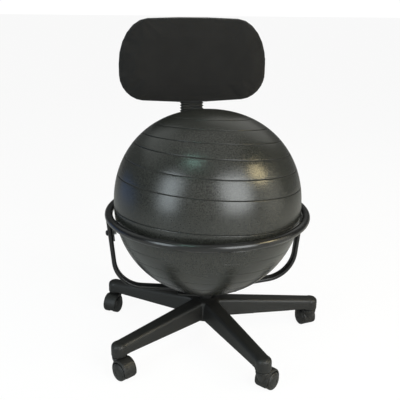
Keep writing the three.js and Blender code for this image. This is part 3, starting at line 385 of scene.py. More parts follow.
def turned(profile, segments, place=Matrix()):
    """Points and faces of a profile of radius and height turned about Z, in millimetres."""
    points, faces, rows = [], [], []
    for radius, height in profile:
        if radius < TINY:
            rows.append([len(points)] * segments)
            points.append(place @ Vector((0, 0, height)) * MM)
            continue
        rows.append(list(range(len(points), len(points) + segments)))
        for k in range(segments):
            a = TURN * k / segments
            points.append(place @ Vector((*polar(radius, a), height)) * MM)
    for low, high in zip(rows, rows[1:]):
        for k in range(segments):
            after = (k + 1) % segments
            corner = tuple(dict.fromkeys((low[k], low[after], high[after], high[k])))
            if len(corner) > 2:
                faces.append(corner)
    return points, faces


def drum(radius, low, high, segments, place=Matrix()):
    """Points and faces of a plain cylinder along Z, in millimetres."""
    return turned([(0, low), (radius, low), (radius, high), (0, high)], segments, place)


def rounded(corners, radius, steps):
    """A closed outline with each corner rounded."""
    outline = []
    for k, corner in enumerate(corners):
        at = Vector(corner)
        before = (Vector(corners[k - 1]) - at).normalized()
        after = (Vector(corners[(k + 1) % len(corners)]) - at).normalized()
        half = before.angle(after) / 2
        reach = radius / math.tan(half)
        centre = at + (before + after).normalized() * radius / math.sin(half)
        start, end = at + before * reach - centre, at + after * reach - centre
        for turn in spaced(0, -start.angle_signed(end), steps):
            outline.append(tuple(centre + swung(start, turn)))
    return outline


def swung(arm, turn):
    """A flat vector turned by an angle."""
    c, n = math.cos(turn), math.sin(turn)
    return Vector((arm.x * c - arm.y * n, arm.x * n + arm.y * c))


def prism(outline, low, high, place=Matrix()):
    """Points and faces of a flat outline raised along Z, in millimetres."""
    return loft([[place @ Vector((x, y, z)) * MM for x, y in outline] for z in (low, high)])


def carved(body, added=(), removed=()):
    """The mesh of a solid with others joined to it and cut from it."""
    base, tools = solid(*body), []
    for operation, shapes in (("UNION", added), ("DIFFERENCE", removed)):
        for shape in shapes:
            tool = solid(*shape)
            tools.append(tool)
            step = base.modifiers.new("step", "BOOLEAN")
            step.operation = operation
            step.solver = "EXACT"
            step.object = tool
    mesh = applied(base)
    for tool in tools:
        bpy.data.objects.remove(tool)
    return mesh


def even_skin(made, size):
    """The mesh of an object covered anew with even faces of a size in metres. The object goes."""
    cover = made.modifiers.new("even", "REMESH")
    cover.mode = "VOXEL"
    cover.voxel_size = size
    return applied(made)


def moulded_form(mesh, grain, rounds, share=None):
    """A mesh under an even skin, eased so that edges round off and corners fill as in a mould."""
    made = even_skin(placed("blank", mesh), grain * MM)
    count = len(made.vertices)
    places = np.empty(count * 3)
    made.vertices.foreach_get("co", places)
    places = places.reshape(count, 3)
    pairs = np.empty(len(made.edges) * 2, dtype=np.int64)
    made.edges.foreach_get("vertices", pairs)
    ends = pairs.reshape(-1, 2)
    one, other = np.concatenate([ends[:, 0], ends[:, 1]]), np.concatenate([ends[:, 1], ends[:, 0]])
    near = np.maximum(np.bincount(one, minlength=count), 1)
    ease = 0.5 if share is None else 0.5 * share(places / MM)[:, None]
    for _ in range(rounds):
        mean = np.stack([np.bincount(one, places[other, k], count) / near for k in range(3)], axis=1)
        places = places + (mean - places) * ease
    made.vertices.foreach_set("co", places.reshape(-1))
    made.update()
    dense = placed("dense", made)
    dense.modifiers.new("thin", "DECIMATE").ratio = 0.5
    return applied(dense)


def softened(node, width):
    """Rounds the sharp edges of a CAD node by a small bevel."""
    node.modifiers.new("weld", "WELD").merge_threshold = TINY
    bevel = node.modifiers.new("edges", "BEVEL")
    bevel.width = width * MM
    bevel.segments = 2
    bevel.limit_method = "ANGLE"
    bevel.angle_limit = math.radians(35)
    bevel.harden_normals = False


# Ball: fine grooves round an axis that leans back and to one side, unevenly as the skin stretches
BALL_SEGMENTS, BALL_WALL, VALVE_HOLE = 144, 1.5, 4.2
# Latitude of each groove in degrees, and half of its section: place beside its middle line and depth
GROOVES = [64.4, 54.4, 44.9, 36.6, 27.1, 15.9, -4.5, -14.7, -23.5, -32.3, -41.0, -49.8]
LIP = [(-2.2, 0), (-1.4, -0.08), (-0.9, -0.4), (-0.5, -1.0), (0, -1.3)]
# Grooves below this height over the ball's middle are shallower, by this share, and get no painted
# shade
LOWEST_PAINTED_SHADE, SHALLOW = -40.0, 0.6
# Latitude in degrees, and how far the skin leans back and to the side there
SKIN_LEAN = [
    (-90, -5.2, 3.2), (-60, -5.0, 2.4), (-23.5, -5.0, 2.0), (-4.5, -4.2, 3.6), (15.9, -2.5, 3.75),
    (27.1, -2.2, 3.75), (36.6, -3.8, 4.2), (44.9, -5.5, 3.5), (54.4, -6.5, 3.0), (64.4, -7.0, 2.5),
]
# The seated dome's half width, height and fullness, and the degrees of rise over which it sets in
DOME_WIDTH, DOME_HEIGHT, DOME_FULLNESS = 260.1, 256.8, 2.16
DOME_START, DOME_WHOLE = -6, 12


def skin_lean(point):
    latitude = math.degrees(math.atan2(point.z, math.hypot(point.x, point.y)))
    stops, back, across = zip(*SKIN_LEAN)
    back, across = np.interp(latitude, stops, back), np.interp(latitude, stops, across)
    return Matrix.Rotation(math.radians(back), 4, "X") @ Matrix.Rotation(math.radians(across), 4, "Y")


def seated(point):
    """A point of the round skin on the seated ball, a little flat on top and full at its shoulders."""
    along = point.normalized()
    rise = math.degrees(math.asin(along.z))
    share = min(1.0, max(0.0, (rise - DOME_START) / (DOME_WHOLE - DOME_START)))
    share *= share * (3 - 2 * share)
    level, up = math.hypot(along.x, along.y) / DOME_WIDTH, abs(along.z) / DOME_HEIGHT
    dome = (level ** DOME_FULLNESS + up ** DOME_FULLNESS) ** (-1 / DOME_FULLNESS)
    return point + along * (dome - BALL_RADIUS) * share


def ball_profile():
    """Half outline of the skin: down its inside, round the valve's hole below and up its outside."""
    spacing, clear = 2.6, 1.6
    stops = {}
    for latitude in np.arange(-88, 90, spacing):
        if min(abs(latitude - groove) for groove in GROOVES) > clear:
            stops[math.radians(latitude)] = 0
    for groove in GROOVES:
        share = 1 if BALL_RADIUS * math.sin(math.radians(groove)) > LOWEST_PAINTED_SHADE else SHALLOW
        for offset, depth in LIP + [(-offset, depth) for offset, depth in LIP[-2::-1]]:
            stops[math.radians(groove) + offset / BALL_RADIUS] = depth * share
    inner_radius, lowest = BALL_RADIUS - BALL_WALL, -BALL_RADIUS
    inner = [polar(inner_radius, a) for a in spaced(QUARTER, -QUARTER, 30)]
    mouth = [(VALVE_HOLE, -inner_radius), (VALVE_HOLE, lowest + 0.4), (VALVE_HOLE + 0.8, lowest)]
    outer = [polar(BALL_RADIUS + depth, a) for a, depth in sorted(stops.items())]
    return [(0, inner_radius), *inner[1:-1], *mouth, *outer, (0, BALL_RADIUS)]


def low_points(profile):
    """Numbers of the points that turned() makes low in the ball's upper grooves, which get the painted
    groove shade.
    """
    shallowest, deepest = 0.3, 1.45
    count, low = 0, set()
    for radius, height in profile:
        step = 1 if radius < TINY else BALL_SEGMENTS
        depth = BALL_RADIUS - math.hypot(radius, height)
        if shallowest < depth < deepest and step > 1 and height > LOWEST_PAINTED_SHADE:
            low.update(range(count, count + step))
        count += step
    return low


def make_ball():
    place = BASE @ Matrix.Translation((0, 0, BALL_MIDDLE))
    profile = ball_profile()
    points, faces = turned(profile, BALL_SEGMENTS)
    points = [place @ seated(skin_lean(p) @ p / MM) * MM for p in points]
    ball = piece("ball_skin", points, faces, VINYL, "ball", 60)
    # The low faces of the upper grooves get the second material, painted shade
    ball.data.materials.append(GROOVE)
    painted_shade_points = low_points(profile)
    for face in ball.data.polygons:
        if all(corner in painted_shade_points for corner in face.vertices):
            face.material_index = 1
    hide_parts("ball")


# Ring with lugs and a rear standoff, and its support bars
LEAN = math.radians(5.5)
SLOPE = math.radians(6.7)
LUG_THICKNESS, NUT_HEIGHT = 4.0, 6.5
# The bar's plane holds Vectors of distance from the axis and height
BAR_TOP = Vector((RING_RADIUS + 1.9, RING_PLANE - RING_TUBE - 0.6))
DOWN = Vector((-math.sin(LEAN), -math.cos(LEAN)))
BAR_BOLT = BAR_TOP + DOWN * 40
SIDES = {"right": 0, "left": math.pi}


def side(turn):
    """Frame of one side of the chair, with the bar's plane along X."""
    return BASE @ Matrix.Rotation(turn, 4, "Z")


def at_bolt(turn):
    """Frame on the bar's upper bolt: Z points inwards through the bar, X up along it."""
    bolt = Matrix.Translation((BAR_BOLT.x, 0, BAR_BOLT.y)) @ Matrix.Rotation(LEAN - QUARTER, 4, "Y")
    return side(turn) @ bolt


def make_ring():
    around, across = 150, 22
    section = [polar(RING_TUBE, b) for b in spaced(0, TURN, across)[:-1]]
    rings = []
    for a in spaced(0, TURN, around)[:-1]:
        ring = [Vector((*polar(RING_RADIUS + beside, a), RING_PLANE + up)) for beside, up in section]
        rings.append([BASE @ point * MM for point in ring])
    # A lug is square where the tube covers it and rounded below the bolt
    half = BAR_WIDTH / 2
    lug = [(48, -half), (48, half), (-20, half), (-24.2, 7.5), (-25.4, 0), (-24.2, -7.5), (-20, -half)]
    near = BAR_THICKNESS / 2 + GAP
    parts = [prism(lug, near, near + LUG_THICKNESS, at_bolt(turn)) for turn in SIDES.values()]
    face = BACK_BAR_MIDDLE - BACK_BAR_THICKNESS / 2 - GAP
    standoff = BASE @ Matrix.Translation((0, 0, RING_PLANE)) @ Matrix.Rotation(-QUARTER, 4, "X")
    stub = [(0, RING_RADIUS), (9, RING_RADIUS), (9, face - 0.8), (8.2, face), (0, face)]
    parts.append(turned(stub, 32, standoff))
    mesh = carved(loft(rings, around=True), parts)
    ring = dress("ring_tube", mesh, RING_PAINT, "frame", 30)
    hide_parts("ring")


def bar_line():
    """Middle line of a support bar: down its lean, round the bend and in along the plate's wing."""
    wing, bend = 26.0, 89.0
    wing_z = PLATE_FLAT_TOP + GAP + BAR_THICKNESS / 2 / math.cos(SLOPE) - wing * math.tan(SLOPE)
    inward = Vector((-math.cos(SLOPE), -math.sin(SLOPE)))
    rise = BAR_TOP.y - wing_z - BAR_TOP.x * math.tan(SLOPE)
    corner = BAR_TOP + DOWN * rise / (math.cos(LEAN) - math.sin(LEAN) * math.tan(SLOPE))
    turn = math.acos(DOWN.dot(inward))
    first = corner - DOWN * bend * math.tan(turn / 2)
    centre = first + Vector((DOWN.y, -DOWN.x)) * bend
    line = [BAR_TOP, *(centre + swung(first - centre, a) for a in spaced(0, -turn, 26))]
    line.append(Vector((wing + GAP, wing_z + (wing + GAP) * math.tan(SLOPE))))
    return line


def swept(line, section, place):
    """An outline of width and thickness pairs carried along a line in the X Z plane."""
    rings = []
    for k, at in enumerate(line):
        along = (line[min(k + 1, len(line) - 1)] - line[max(k - 1, 0)]).normalized()
        normal = Vector((-along.y, along.x))
        ring = [Vector((at.x + normal.x * t, w, at.y + normal.y * t)) for w, t in section]
        rings.append([place @ point * MM for point in ring])
    return loft(rings)


def make_support_bars():
    half = BAR_THICKNESS / 2
    section = []
    for hand in (1, -1):
        for a in spaced(-QUARTER, QUARTER, 12):
            beside, up = polar(half, a)
            section.append((hand * (BAR_WIDTH / 2 - half + beside), hand * up))
    for name, turn in SIDES.items():
        bar = piece(f"bent_bar_{name}", *swept(bar_line(), section, side(turn)), PAINT, "frame", 40)
        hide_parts(f"support_bar_{name}")


def make_back_bar():
    inner_end, bend = 14.2, 95.0
    wide, half = BACK_BAR_WIDTH / 2, BACK_BAR_THICKNESS / 2
    low = PLATE_FLAT_TOP + GAP + half
    line = [Vector((inner_end, low))]
    for a in spaced(0, QUARTER, 30):
        short, up = bend * (1 - math.sin(a)), bend * (1 - math.cos(a))
        line.append(Vector((BACK_BAR_MIDDLE - short, low + up)))
    line.append(Vector((BACK_BAR_MIDDLE, top_of("back_bar"))))
    section = rounded([(wide, half), (-wide, half), (-wide, -half), (wide, -half)], 1.4, 3)
    bar = piece("back_flat_bar", *swept(line, section, side(QUARTER)), PAINT, "frame", 40)
    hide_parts("back_bar")


def dome_bolt(name, node, place, bite):
    """A bolt with a dome head and a hexagonal socket. Z runs from the head into the work."""
    shank, head, rim, dome, key = 4.0, 8.0, 0.6, 5.4, 2.6
    profile = [(0, bite), (shank - 0.4, bite), (shank, bite - 0.6), (shank, 0)]
    profile += [(head - 0.4, 0), (head, -rim)]
    for a in spaced(0, QUARTER, 8)[1:-1]:
        profile.append((head * math.cos(a), -rim - dome * math.sin(a)))
    profile.append((0, -rim - dome))
    hexagon = [polar(key, a) for a in spaced(0, TURN, 6)[:-1]]
    mesh = carved(turned(profile, 36, place), (), [prism(hexagon, -9, -3, place)])
    bolt = dress(name, mesh, OXIDE, "frame", 30)
    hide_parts(node)


def make_dome_bolts():
    side_bite = BAR_THICKNESS + LUG_THICKNESS + NUT_HEIGHT + 3 * GAP
    rear_bite = 16.6
    for name, turn in SIDES.items():
        place = at_bolt(turn) @ Matrix.Translation((0, 0, -BAR_THICKNESS / 2 - GAP))
        dome_bolt(f"side_bolt_{name}", f"support_bolt_{name}", place, side_bite)
    behind = Matrix.Translation((0, BACK_BAR_MIDDLE + BACK_BAR_THICKNESS / 2 + GAP, RING_PLANE))
    rear = BASE @ behind @ Matrix.Rotation(QUARTER, 4, "X")
    dome_bolt("rear_bolt", "ring_bolt_back", rear, rear_bite)


# Base: five legs with rounded upper edges, hollow and ribbed below
LEG_ROOT, LEG_REACH = 49.0, 321.0
LEG_TURNS = [math.radians(-0.8 + 72 * k) for k in range(5)]
LEG_TIP_TOP = 96.5
# Half width at the foot and on top, height of top and foot, and what is added to the rounding
LEG_AT_HUB = (28.5, 23.0, 116.5, 67.0, 0.0)
LEG_AT_TIP = (21.0, 19.5, LEG_TIP_TOP, 65.5, 3.0)
LEG_ROUND, LEG_WALL, RIB = 9.0, 4.0, 3.0
SOCKET_RADIUS, SOCKET_ROUND = 21.3, 12.0
SOCKET_BOTTOM = bottom_of("star_base")
STEM_BORE, STEM_BORE_TOP, POST_BORE = 5.9, 87.1, 21.9


def leg_ring(x, inset, radius, place):
    """A leg's outline at a distance from the axis, or the outline of its hollow by an inset."""
    share = max(0.0, (x - LEG_ROOT) / (LEG_REACH - LEG_ROOT))
    lower, upper, top, foot, more = [a + (b - a) * share for a, b in zip(LEG_AT_HUB, LEG_AT_TIP)]
    radius += more
    right = [(lower - inset, foot - inset / 2)]
    for a in spaced(0, QUARTER, 6):
        y, z = upper - radius * (1 - math.cos(a)), top - radius * (1 - math.sin(a))
        right.append((y - inset, z - inset))
    outline = right + [(-y, z) for y, z in right[::-1]]
    return [place @ Vector((x, y, z)) * MM for y, z in outline]


def socket_profile():
    edge = 0.7
    profile = [(0, SOCKET_BOTTOM), (SOCKET_RADIUS - edge, SOCKET_BOTTOM)]
    profile.append((SOCKET_RADIUS, SOCKET_BOTTOM + edge))
    for a in spaced(0, QUARTER, 8):
        radius = SOCKET_RADIUS - SOCKET_ROUND * (1 - math.cos(a))
        profile.append((radius, LEG_TIP_TOP - SOCKET_ROUND * (1 - math.sin(a))))
    return [*profile, (0, LEG_TIP_TOP)]


def make_star_base():
    # The hub is a cone with a rounded rim and a collar round the post
    hub = [(0, 62), (48.5, 62), (50, 63.5), (42.5, 112), (40.5, 116), (37, 117.7), (33, 118.4)]
    hub += [(29, 119.6), (25, 122.4), (0, 122.4)]
    below, above, hollow_start = 50.0, 140.0, 55.0
    hollow_step = (LEG_REACH - SOCKET_RADIUS - RIB - hollow_start) / 2
    added, removed = [], []
    for turn in LEG_TURNS:
        place = BASE @ Matrix.Rotation(turn, 4, "Z")
        tip = place @ Matrix.Translation((LEG_REACH, 0, 0))
        added.append(loft([leg_ring(x, 0, LEG_ROUND, place) for x in (0, LEG_ROOT, LEG_REACH)]))
        added.append(turned(socket_profile(), 48, tip))
        for start in (hollow_start, hollow_start + hollow_step):
            ends = (start, start + hollow_step - RIB)
            removed.append(loft([leg_ring(x, LEG_WALL, 4, place) for x in ends]))
        removed.append(drum(STEM_BORE, below, STEM_BORE_TOP, 24, tip))
    removed.append(drum(POST_BORE, below, above, 40, BASE))
    mesh = carved(turned(hub, 72, BASE), added, removed)

    def upper_part(places):
        """How much each place is eased: fully from the legs' sides upwards, less on the underside."""
        return np.clip((places[:, 2] - 60) / 10, 0.8, 1)

    base = dress("five_leg_base", moulded_form(mesh, 1.6, 6, upper_part), NYLON, "frame", 60)
    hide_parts("star_base")


# Casters: a hood over twin domed wheels
AXLE_HEIGHT = middle("caster_1_axle").z / MM
WHEEL_RADIUS, TRAIL = AXLE_HEIGHT, 20.0
WHEEL_INNER, WHEEL_SHOULDER, WHEEL_OUTER = 6.6, 17.6, 26.4
AXLE_BORE, HOOD_TOP = 3.4, 58.0


def wheel_mesh():
    face, inner, dome = WHEEL_OUTER, WHEEL_INNER, WHEEL_OUTER - WHEEL_SHOULDER
    cap, disc_line, line_width, line_depth = 7.6, 20.2, 0.9, 0.7
    profile = [(0, face - 1.0), (5.6, face - 1.0), (6.0, face - 0.3), (6.8, face - 0.1)]
    for a in spaced(0, QUARTER, 30)[1:-1]:
        radius = WHEEL_RADIUS * math.sin(a) ** 0.8
        height = WHEEL_SHOULDER + dome * math.cos(a) ** 0.8
        # A shallow turned line runs round the disc near its rim
        line = max(0.0, 1 - abs(radius - disc_line) / line_width)
        if radius > cap:
            profile.append((radius, height - line_depth * line))
    profile += [(WHEEL_RADIUS, WHEEL_SHOULDER), (WHEEL_RADIUS, inner + 1.2)]
    profile += [(WHEEL_RADIUS - 0.4, inner + 0.4), (WHEEL_RADIUS - 1.2, inner)]
    profile += [(21, inner), (20.5, inner + 6), (6, inner + 6), (5.5, inner)]
    profile += [(AXLE_BORE, inner), (AXLE_BORE, face - 5), (0, face - 5)]
    return mesh_of("domed_wheel", *turned(profile, 64, Matrix.Rotation(QUARTER, 4, "X")))


def hood_mesh():
    inner, wall, web = 26.2, 3.0, 6.0
    start, end, steps = -22.0, 205.0, 40
    axle = Matrix.Translation((TRAIL, 0, AXLE_HEIGHT))
    stand = axle @ Matrix.Rotation(QUARTER, 4, "X")

    def outer(angle):
        rise = max(0.0, math.sin(angle)) ** 2
        return inner + wall + (HOOD_TOP - AXLE_HEIGHT - inner - wall) * rise

    # Across its width the hood narrows at both faces, and its lower corners round off
    rings = []
    edges = [(20.0, 2.6, 24), (19.4, 1.3, 15), (18.0, 0.5, 9), (15.6, 0.1, 4), (12.5, 0, 0)]
    for y, inset, trim in edges + [(-y, inset, trim) for y, inset, trim in edges[::-1]]:
        ring = []
        for a in map(math.radians, spaced(start + trim, end - trim, steps)):
            radius = max(outer(a) - inset, inner + 0.8)
            x, z = polar(radius, a)
            ring.append(axle @ Vector((x, y, z)) * MM)
        rings.append(ring)
    reach, foot = inner + 1.3, 9.5 - AXLE_HEIGHT
    plate = [polar(reach, math.radians(a)) for a in spaced(start, end, steps)]
    plate += [(-9, foot), (9, foot)]
    neck = [(0, 26), (8.8, 26), (11.8, 31.5), (14.6, 38), (17.3, 45), (19.0, 50), (19.5, 53)]
    neck += [(19.5, HOOD_TOP - 0.8), (18.7, HOOD_TOP), (0, HOOD_TOP)]
    added = [prism(plate, -web, web, stand), turned(neck, 40)]
    wheel_spaces = [drum(inner, web, 40, 96, stand), drum(inner, -40, -web, 96, stand)]
    bores = [drum(AXLE_BORE, -9, 9, 24, stand), drum(3.9, 38.9, 61, 24)]
    return moulded_form(carved(loft(rings), added, wheel_spaces + bores), 1.0, 4)


def make_casters():
    hood, wheel = hood_mesh(), wheel_mesh()
    for number in range(1, 6):
        name = f"caster_{number}"
        stem, axle = middle(f"{name}_stem"), middle(f"{name}_axle")
        trail = math.atan2(axle.y - stem.y, axle.x - stem.x)
        place = Matrix.Translation((stem.x, stem.y, 0)) @ Matrix.Rotation(trail, 4, "Z")
        cover = dress(f"{name}_hood", hood.copy(), HOOD, None, 60)
        cover.matrix_world = place
        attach(cover, name)
        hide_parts(f"{name}_housing")
        for hand, turn in (("left", math.pi), ("right", 0)):
            tyre = dress(f"{name}_disc_{hand}", wheel.copy(), WHEEL, None, 35)
            lie = Matrix.Translation((TRAIL * MM, 0, AXLE_HEIGHT * MM)) @ Matrix.Rotation(turn, 4, "Z")
            tyre.matrix_world = place @ lie
            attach(tyre, f"{name}_wheel_{hand}")
            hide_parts(f"{name}_wheel_{hand}")


# Backrest: padded front over a board, bellows over the bar
PAD_WIDTH, PAD_HEIGHT, PAD_THICK = 451.0, 230.0, 25.2
UPPER_CORNER, LOWER_CORNER = (88.0, 127.0), (70.0, 71.0)
TOP_BULGE, BOTTOM_BULGE, SIDE_BEND = 9.0, 14.4, 12
PAD_MIDDLE = bottom_of("back_shell") + BOTTOM_BULGE + PAD_HEIGHT / 2
PAD_FRONT = BACK_BAR_MIDDLE - 38.2
# Plane of the pad's back at its middle, in metres
PAD_BACK = (PAD_FRONT + PAD_THICK) * MM + BASE_AXIS.y


def pad_curve(x):
    """How far the pad's sides bend forwards at a place across it."""
    return -SIDE_BEND * (x / (PAD_WIDTH / 2)) ** 2


def pad_ring(inset, scale, depth):
    """One outline of the pad, drawn in by an inset, scaled about its middle and set at a depth."""
    corner_points, edge_points = 16, 12
    flat = []
    for quarter, (side_x, side_z) in enumerate([(1, 1), (-1, 1), (-1, -1), (1, -1)]):
        corner_x, corner_z = UPPER_CORNER if side_z > 0 else LOWER_CORNER
        middle_x = side_x * (PAD_WIDTH / 2 - corner_x)
        middle_z = side_z * (PAD_HEIGHT / 2 - corner_z)
        for k in range(corner_points):
            a = (quarter + k / (corner_points - 1)) * QUARTER
            out_x, out_z = (corner_x - inset) * math.cos(a), (corner_z - inset) * math.sin(a)
            flat.append((middle_x + out_x, middle_z + out_z))
        for k in range(1, edge_points + 1):
            if side_x == side_z:
                along = 1 - 2 * k / (edge_points + 1)
                flat.append((middle_x * along, middle_z + side_z * (corner_z - inset)))
    ring = []
    for x, z in flat:
        bulge = TOP_BULGE if z > 0 else BOTTOM_BULGE
        z += bulge * (1 - (x / (PAD_WIDTH / 2)) ** 2) * z / (PAD_HEIGHT / 2)
        x, z = x * scale, z * scale
        ring.append(BASE @ Vector((x, PAD_FRONT + depth + pad_curve(x), PAD_MIDDLE + z)) * MM)
    return ring


def settled_pad(blank):
    """The pad's mesh under an even skin, swollen as a cover under pressure whose back is held."""
    last_frame, farthest, outline_share = 20, 0.007, 0.35
    mesh = even_skin(blank, 0.005)
    cloth = placed("pad_cover", mesh)
    rest = np.array([v.co for v in mesh.vertices])
    curve = np.array([pad_curve((x - BASE_AXIS.x) / MM) * MM for x in rest[:, 0]])
    depth = PAD_BACK + curve - rest[:, 1]
    held = cloth.vertex_groups.new(name="held")
    held.add([int(n) for n in np.nonzero(depth < 0.004)[0]], 1.0, "REPLACE")
    modifier = cloth.modifiers.new("cloth", "CLOTH")
    settings = modifier.settings
    settings.use_pressure = True
    settings.uniform_pressure_force = 4.0
    settings.effector_weights.gravity = 0.0
    settings.vertex_group_mass = "held"
    settings.quality = 6
    settings.tension_stiffness = 15
    settings.compression_stiffness = 15
    settings.bending_stiffness = 0.5
    modifier.collision_settings.use_collision = False
    modifier.point_cache.frame_start = 1
    modifier.point_cache.frame_end = last_frame
    for number in range(1, last_frame + 1):
        bpy.context.scene.frame_set(number)
    shown = cloth.evaluated_get(bpy.context.evaluated_depsgraph_get())
    moved = np.array([v.co for v in shown.data.vertices]) - rest
    cloth.modifiers.clear()
    cloth.vertex_groups.clear()
    bpy.context.scene.frame_set(1)
    length = np.linalg.norm(moved, axis=1)
    moved *= np.minimum(1.0, farthest / np.maximum(length, 1e-9))[:, None]
    # The outline keeps its shape, the face is free to swell
    moved[:, 0] *= outline_share
    moved[:, 2] *= outline_share
    settled = rest + moved
    settled[:, 1] = np.minimum(settled[:, 1], PAD_BACK + curve)
    for vertex, place in zip(mesh.vertices, settled):
        vertex.co = place
    finer = cloth.modifiers.new("round", "SUBSURF")
    finer.levels = 1
    finer.render_levels = 1
    return applied(cloth)


def gather_corners(mesh):
    """Small gathers where the cover is pulled round the corners to the back."""
    reach, rim_start, height = 11, 0.7, 0.9
    for vertex in mesh.vertices:
        x, z = (vertex.co.x - BASE_AXIS.x) / MM, vertex.co.z / MM - PAD_MIDDLE
        behind = (PAD_BACK - vertex.co.y) / MM + pad_curve(x)
        corner_x, corner_z = UPPER_CORNER if z > 0 else LOWER_CORNER
        out_x, out_z = abs(x) - (PAD_WIDTH / 2 - corner_x), abs(z) - (PAD_HEIGHT / 2 - corner_z)
        if out_x <= 0 or out_z <= 0 or behind > reach:
            continue
        turn = math.atan2(out_z / corner_z, out_x / corner_x)
        rim = math.hypot(out_x / corner_x, out_z / corner_z)
        near = max(0.0, math.sin(2 * turn)) * max(0.0, (rim - rim_start) / (1 - rim_start))
        near *= (1 - behind / reach) ** 2
        fold = height * near * math.sin(turn * 34 + 1.3 * math.sin(turn * 9))
        vertex.co.x += math.copysign(fold * math.cos(turn), x) * MM
        vertex.co.z += math.copysign(fold * math.sin(turn), z) * MM


def make_cushion():
    # Inset from the outline, share of it and depth from the foremost plane
    thick = PAD_THICK
    shape = [(56, 0.15, 0.4), (56, 0.4, 0.5), (56, 0.7, 0.8), (56, 0.9, 1.4), (52, 1, 1.9)]
    shape += [(42, 1, 2.7), (32, 1, 3.9), (23, 1, 5.4), (15, 1, 7.4), (9, 1, 9.6), (5, 1, 12.0)]
    shape += [(2.4, 1, 14.8), (1.2, 1, 17.8), (1.6, 1, 20.8), (3.2, 1, 23.2), (6.0, 1, 25.0)]
    shape += [(10, 1, thick), (30, 1, thick), (56, 0.9, thick), (56, 0.5, thick), (56, 0.15, thick)]
    pad = piece("upholstered_pad", *loft([pad_ring(*row) for row in shape]), CLOTH, None, 50)
    mesh = settled_pad(pad)
    gather_corners(mesh)
    pad = dress("upholstered_pad", mesh, CLOTH, None, 60)
    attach(pad, "backrest")
    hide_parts("back_cushion")


def make_bellows():
    low, high = bottom_of("bellows"), top_of("bellows")
    folds, width, depth, fold, wall, corner = 16, 72.0, 34.0, 4.5, 1.2, 9.0

    def ring(inset, z):
        x, y = width / 2 - inset, depth / 2 - inset
        outline = rounded([(x, y), (-x, y), (-x, -y), (x, -y)], max(corner - inset * 0.6, 2), 5)
        return [BASE @ Vector((a, BACK_BAR_MIDDLE + b, z)) * MM for a, b in outline]

    pitch = (high - low) / folds
    wave = ((0, fold), (0.18, fold * 0.82), (0.38, 0.5), (0.5, 0), (0.62, 0.5), (0.82, fold * 0.82))
    rings = [ring(inset, low + pitch * (k + share)) for k in range(folds) for share, inset in wave]
    rings.append(ring(fold, high))
    rings += [ring(fold + wall, low + pitch * k) for k in range(folds, -1, -1)]
    cover = piece("bellows_cover", *loft(rings, around=True), SOFT, None, 60)
    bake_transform(cover)
    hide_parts("bellows")


def dress_cad_nodes():
    """Gives the CAD's own pieces their finish and a small bevel in millimetres."""
    finishes = {
        "back_board": (PLYWOOD, 0.8), "back_shell": (SHELL, 1.2), "back_bracket": (PAINT, 0.5),
        "height_knob": (SHELL, 1.0), "bellows_clip": (SHELL, 1.2), "post_plate": (PAINT, 0.6),
        "valve_plug": (SHELL, 0.4), "centre_washer": (ZINC, 0.4), "centre_bolt": (ZINC, 0.4),
    }
    for name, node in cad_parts.items():
        finish, edge = finishes.get(name, (ZINC, 0.3))
        if "shell_screw" in name:
            finish = OXIDE
        node.data.materials.clear()
        node.data.materials.append(finish)
        if not node.hide_render:
            softened(node, edge)


make_ball()
make_ring()
make_support_bars()
make_back_bar()
make_dome_bolts()
make_star_base()
make_casters()
make_cushion()
make_bellows()
dress_cad_nodes()


# Camera from the photograph's own view of ball, ring, sockets and pad
def make_camera():
    eye = BASE_AXIS + Vector((-303.1, -1633.5, 961.3)) * MM
    aim = BASE_AXIS + Vector((-20.6, 3.6, 417.1)) * MM
    roll = math.radians(0.84)
    ahead = (aim - eye).normalized()
    right = ahead.cross(Vector((0, 0, 1))).normalized()
    up = right.cross(ahead)
    tilted = right * math.cos(roll) + up * math.sin(roll)
    raised = up * math.cos(roll) - right * math.sin(roll)
    data = bpy.data.cameras.new("camera")
    data.lens = 56.23
    data.sensor_width = 36
    data.clip_end = 50
    camera = placed("camera", data)
    looking = Matrix((tilted, raised, -ahead)).transposed().to_4x4()
    camera.matrix_world = Matrix.Translation(eye) @ looking
    bpy.context.scene.camera = camera


# Lamps for the photographed room: degrees round and up from the ball, distance, size, power, colour
LAMPS = {
    "right_window": (24, 22, 2.6, (1.5, 2.0), 65, (0.95, 0.99, 1.0)),
    "left_window": (-56, 19, 2.6, (0.95, 1.9), 36, (0.85, 0.95, 1.0)),
    "warm_lamp": (62, 33, 2.6, (0.42, 0.75), 21, (1.0, 0.84, 0.48)),
    "cool_flank": (-117, -13, 2.6, (1.6, 1.9), 4.4, (0.14, 0.38, 1.0)),
    "teal_glint": (-40, 59, 2.6, (0.34, 0.05), 5.0, (0.5, 1.0, 0.85)),
    "room_wall": (2, 14, 3.4, (5.4, 3.6), 30, (1.0, 1.0, 0.92)),
    "right_wall": (68, 8, 2.8, (1.5, 2.0), 13.5, (1.0, 0.98, 0.86)),
    "left_gable": (-126, 44, 2.8, (2.4, 1.4), 6, (0.95, 1.0, 0.97)),
    "right_gable": (142, 40, 2.8, (2.0, 1.6), 6, (1.0, 1.0, 0.95)),
    "overhead": (0, 84, 2.4, (2.6, 2.6), 11, (1.0, 1.0, 0.97)),
}


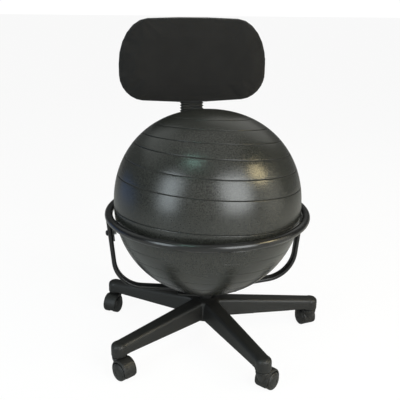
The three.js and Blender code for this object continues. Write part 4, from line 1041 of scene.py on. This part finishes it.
def make_lamp(name, azimuth, elevation, distance, size, power, colour):
    """A soft panel that faces the ball."""
    a, e = math.radians(azimuth), math.radians(elevation)
    out = Vector((math.sin(a) * math.cos(e), -math.cos(a) * math.cos(e), math.sin(e)))
    data = bpy.data.lights.new(name, "AREA")
    data.shape = "RECTANGLE"
    data.size, data.size_y = size
    data.energy = power
    data.color = colour
    lamp = placed(name, data)
    lamp.location = BASE_AXIS + Vector((0, 0, BALL_MIDDLE * MM)) + out * distance
    lamp.rotation_mode = "QUATERNION"
    lamp.rotation_quaternion = (-out).to_track_quat("-Z", "Y")


def show_backdrop(nodes, plain, white, glossy, most, output):
    """White for the camera and through clear materials, less of it in reflections, else plain."""

    def ray(kind):
        return nodes.node("ShaderNodeLightPath", {}, {}, out=f"Is {kind} Ray")

    share = ray("Camera").most(ray("Transmission")).most(ray("Glossy") * glossy) * most
    choice = nodes.node("ShaderNodeMixShader", {}, {0: share, 1: plain, 2: white})
    nodes.link(choice, nodes.tree.nodes.new(output).inputs[0])


def make_world():
    world = bpy.data.worlds.new("studio")
    bpy.context.scene.world = world
    nodes = Nodes(world)
    nodes.tree.nodes.clear()
    room = nodes.node("ShaderNodeBackground", {}, {0: (0.07, 0.073, 0.072, 1)})
    white = nodes.node("ShaderNodeBackground", {}, {0: (1, 1, 1, 1), 1: 1.02})
    show_backdrop(nodes, room, white, 0.04, 1, "ShaderNodeOutputWorld")


def make_floor():
    reach = 30
    corners = [(-reach, -reach, 0), (reach, -reach, 0), (reach, reach, 0), (-reach, reach, 0)]
    floor = placed("floor", mesh_of("floor", corners, [(0, 1, 2, 3)]))
    material = bpy.data.materials.new("white_floor")
    nodes = Nodes(material)
    nodes.tree.nodes.clear()
    chalk = nodes.node("ShaderNodeBsdfDiffuse", {}, {0: (0.6, 0.6, 0.59, 1)})
    glow = nodes.node("ShaderNodeEmission", {}, {1: 1.04})
    show_backdrop(nodes, chalk, glow, 0.15, 0.9, "ShaderNodeOutputMaterial")
    floor.data.materials.append(material)


make_camera()
for lamp_name, lamp_sizes in LAMPS.items():
    make_lamp(lamp_name, *lamp_sizes)
make_world()
make_floor()
bpy.context.scene.view_settings.view_transform = "Standard"
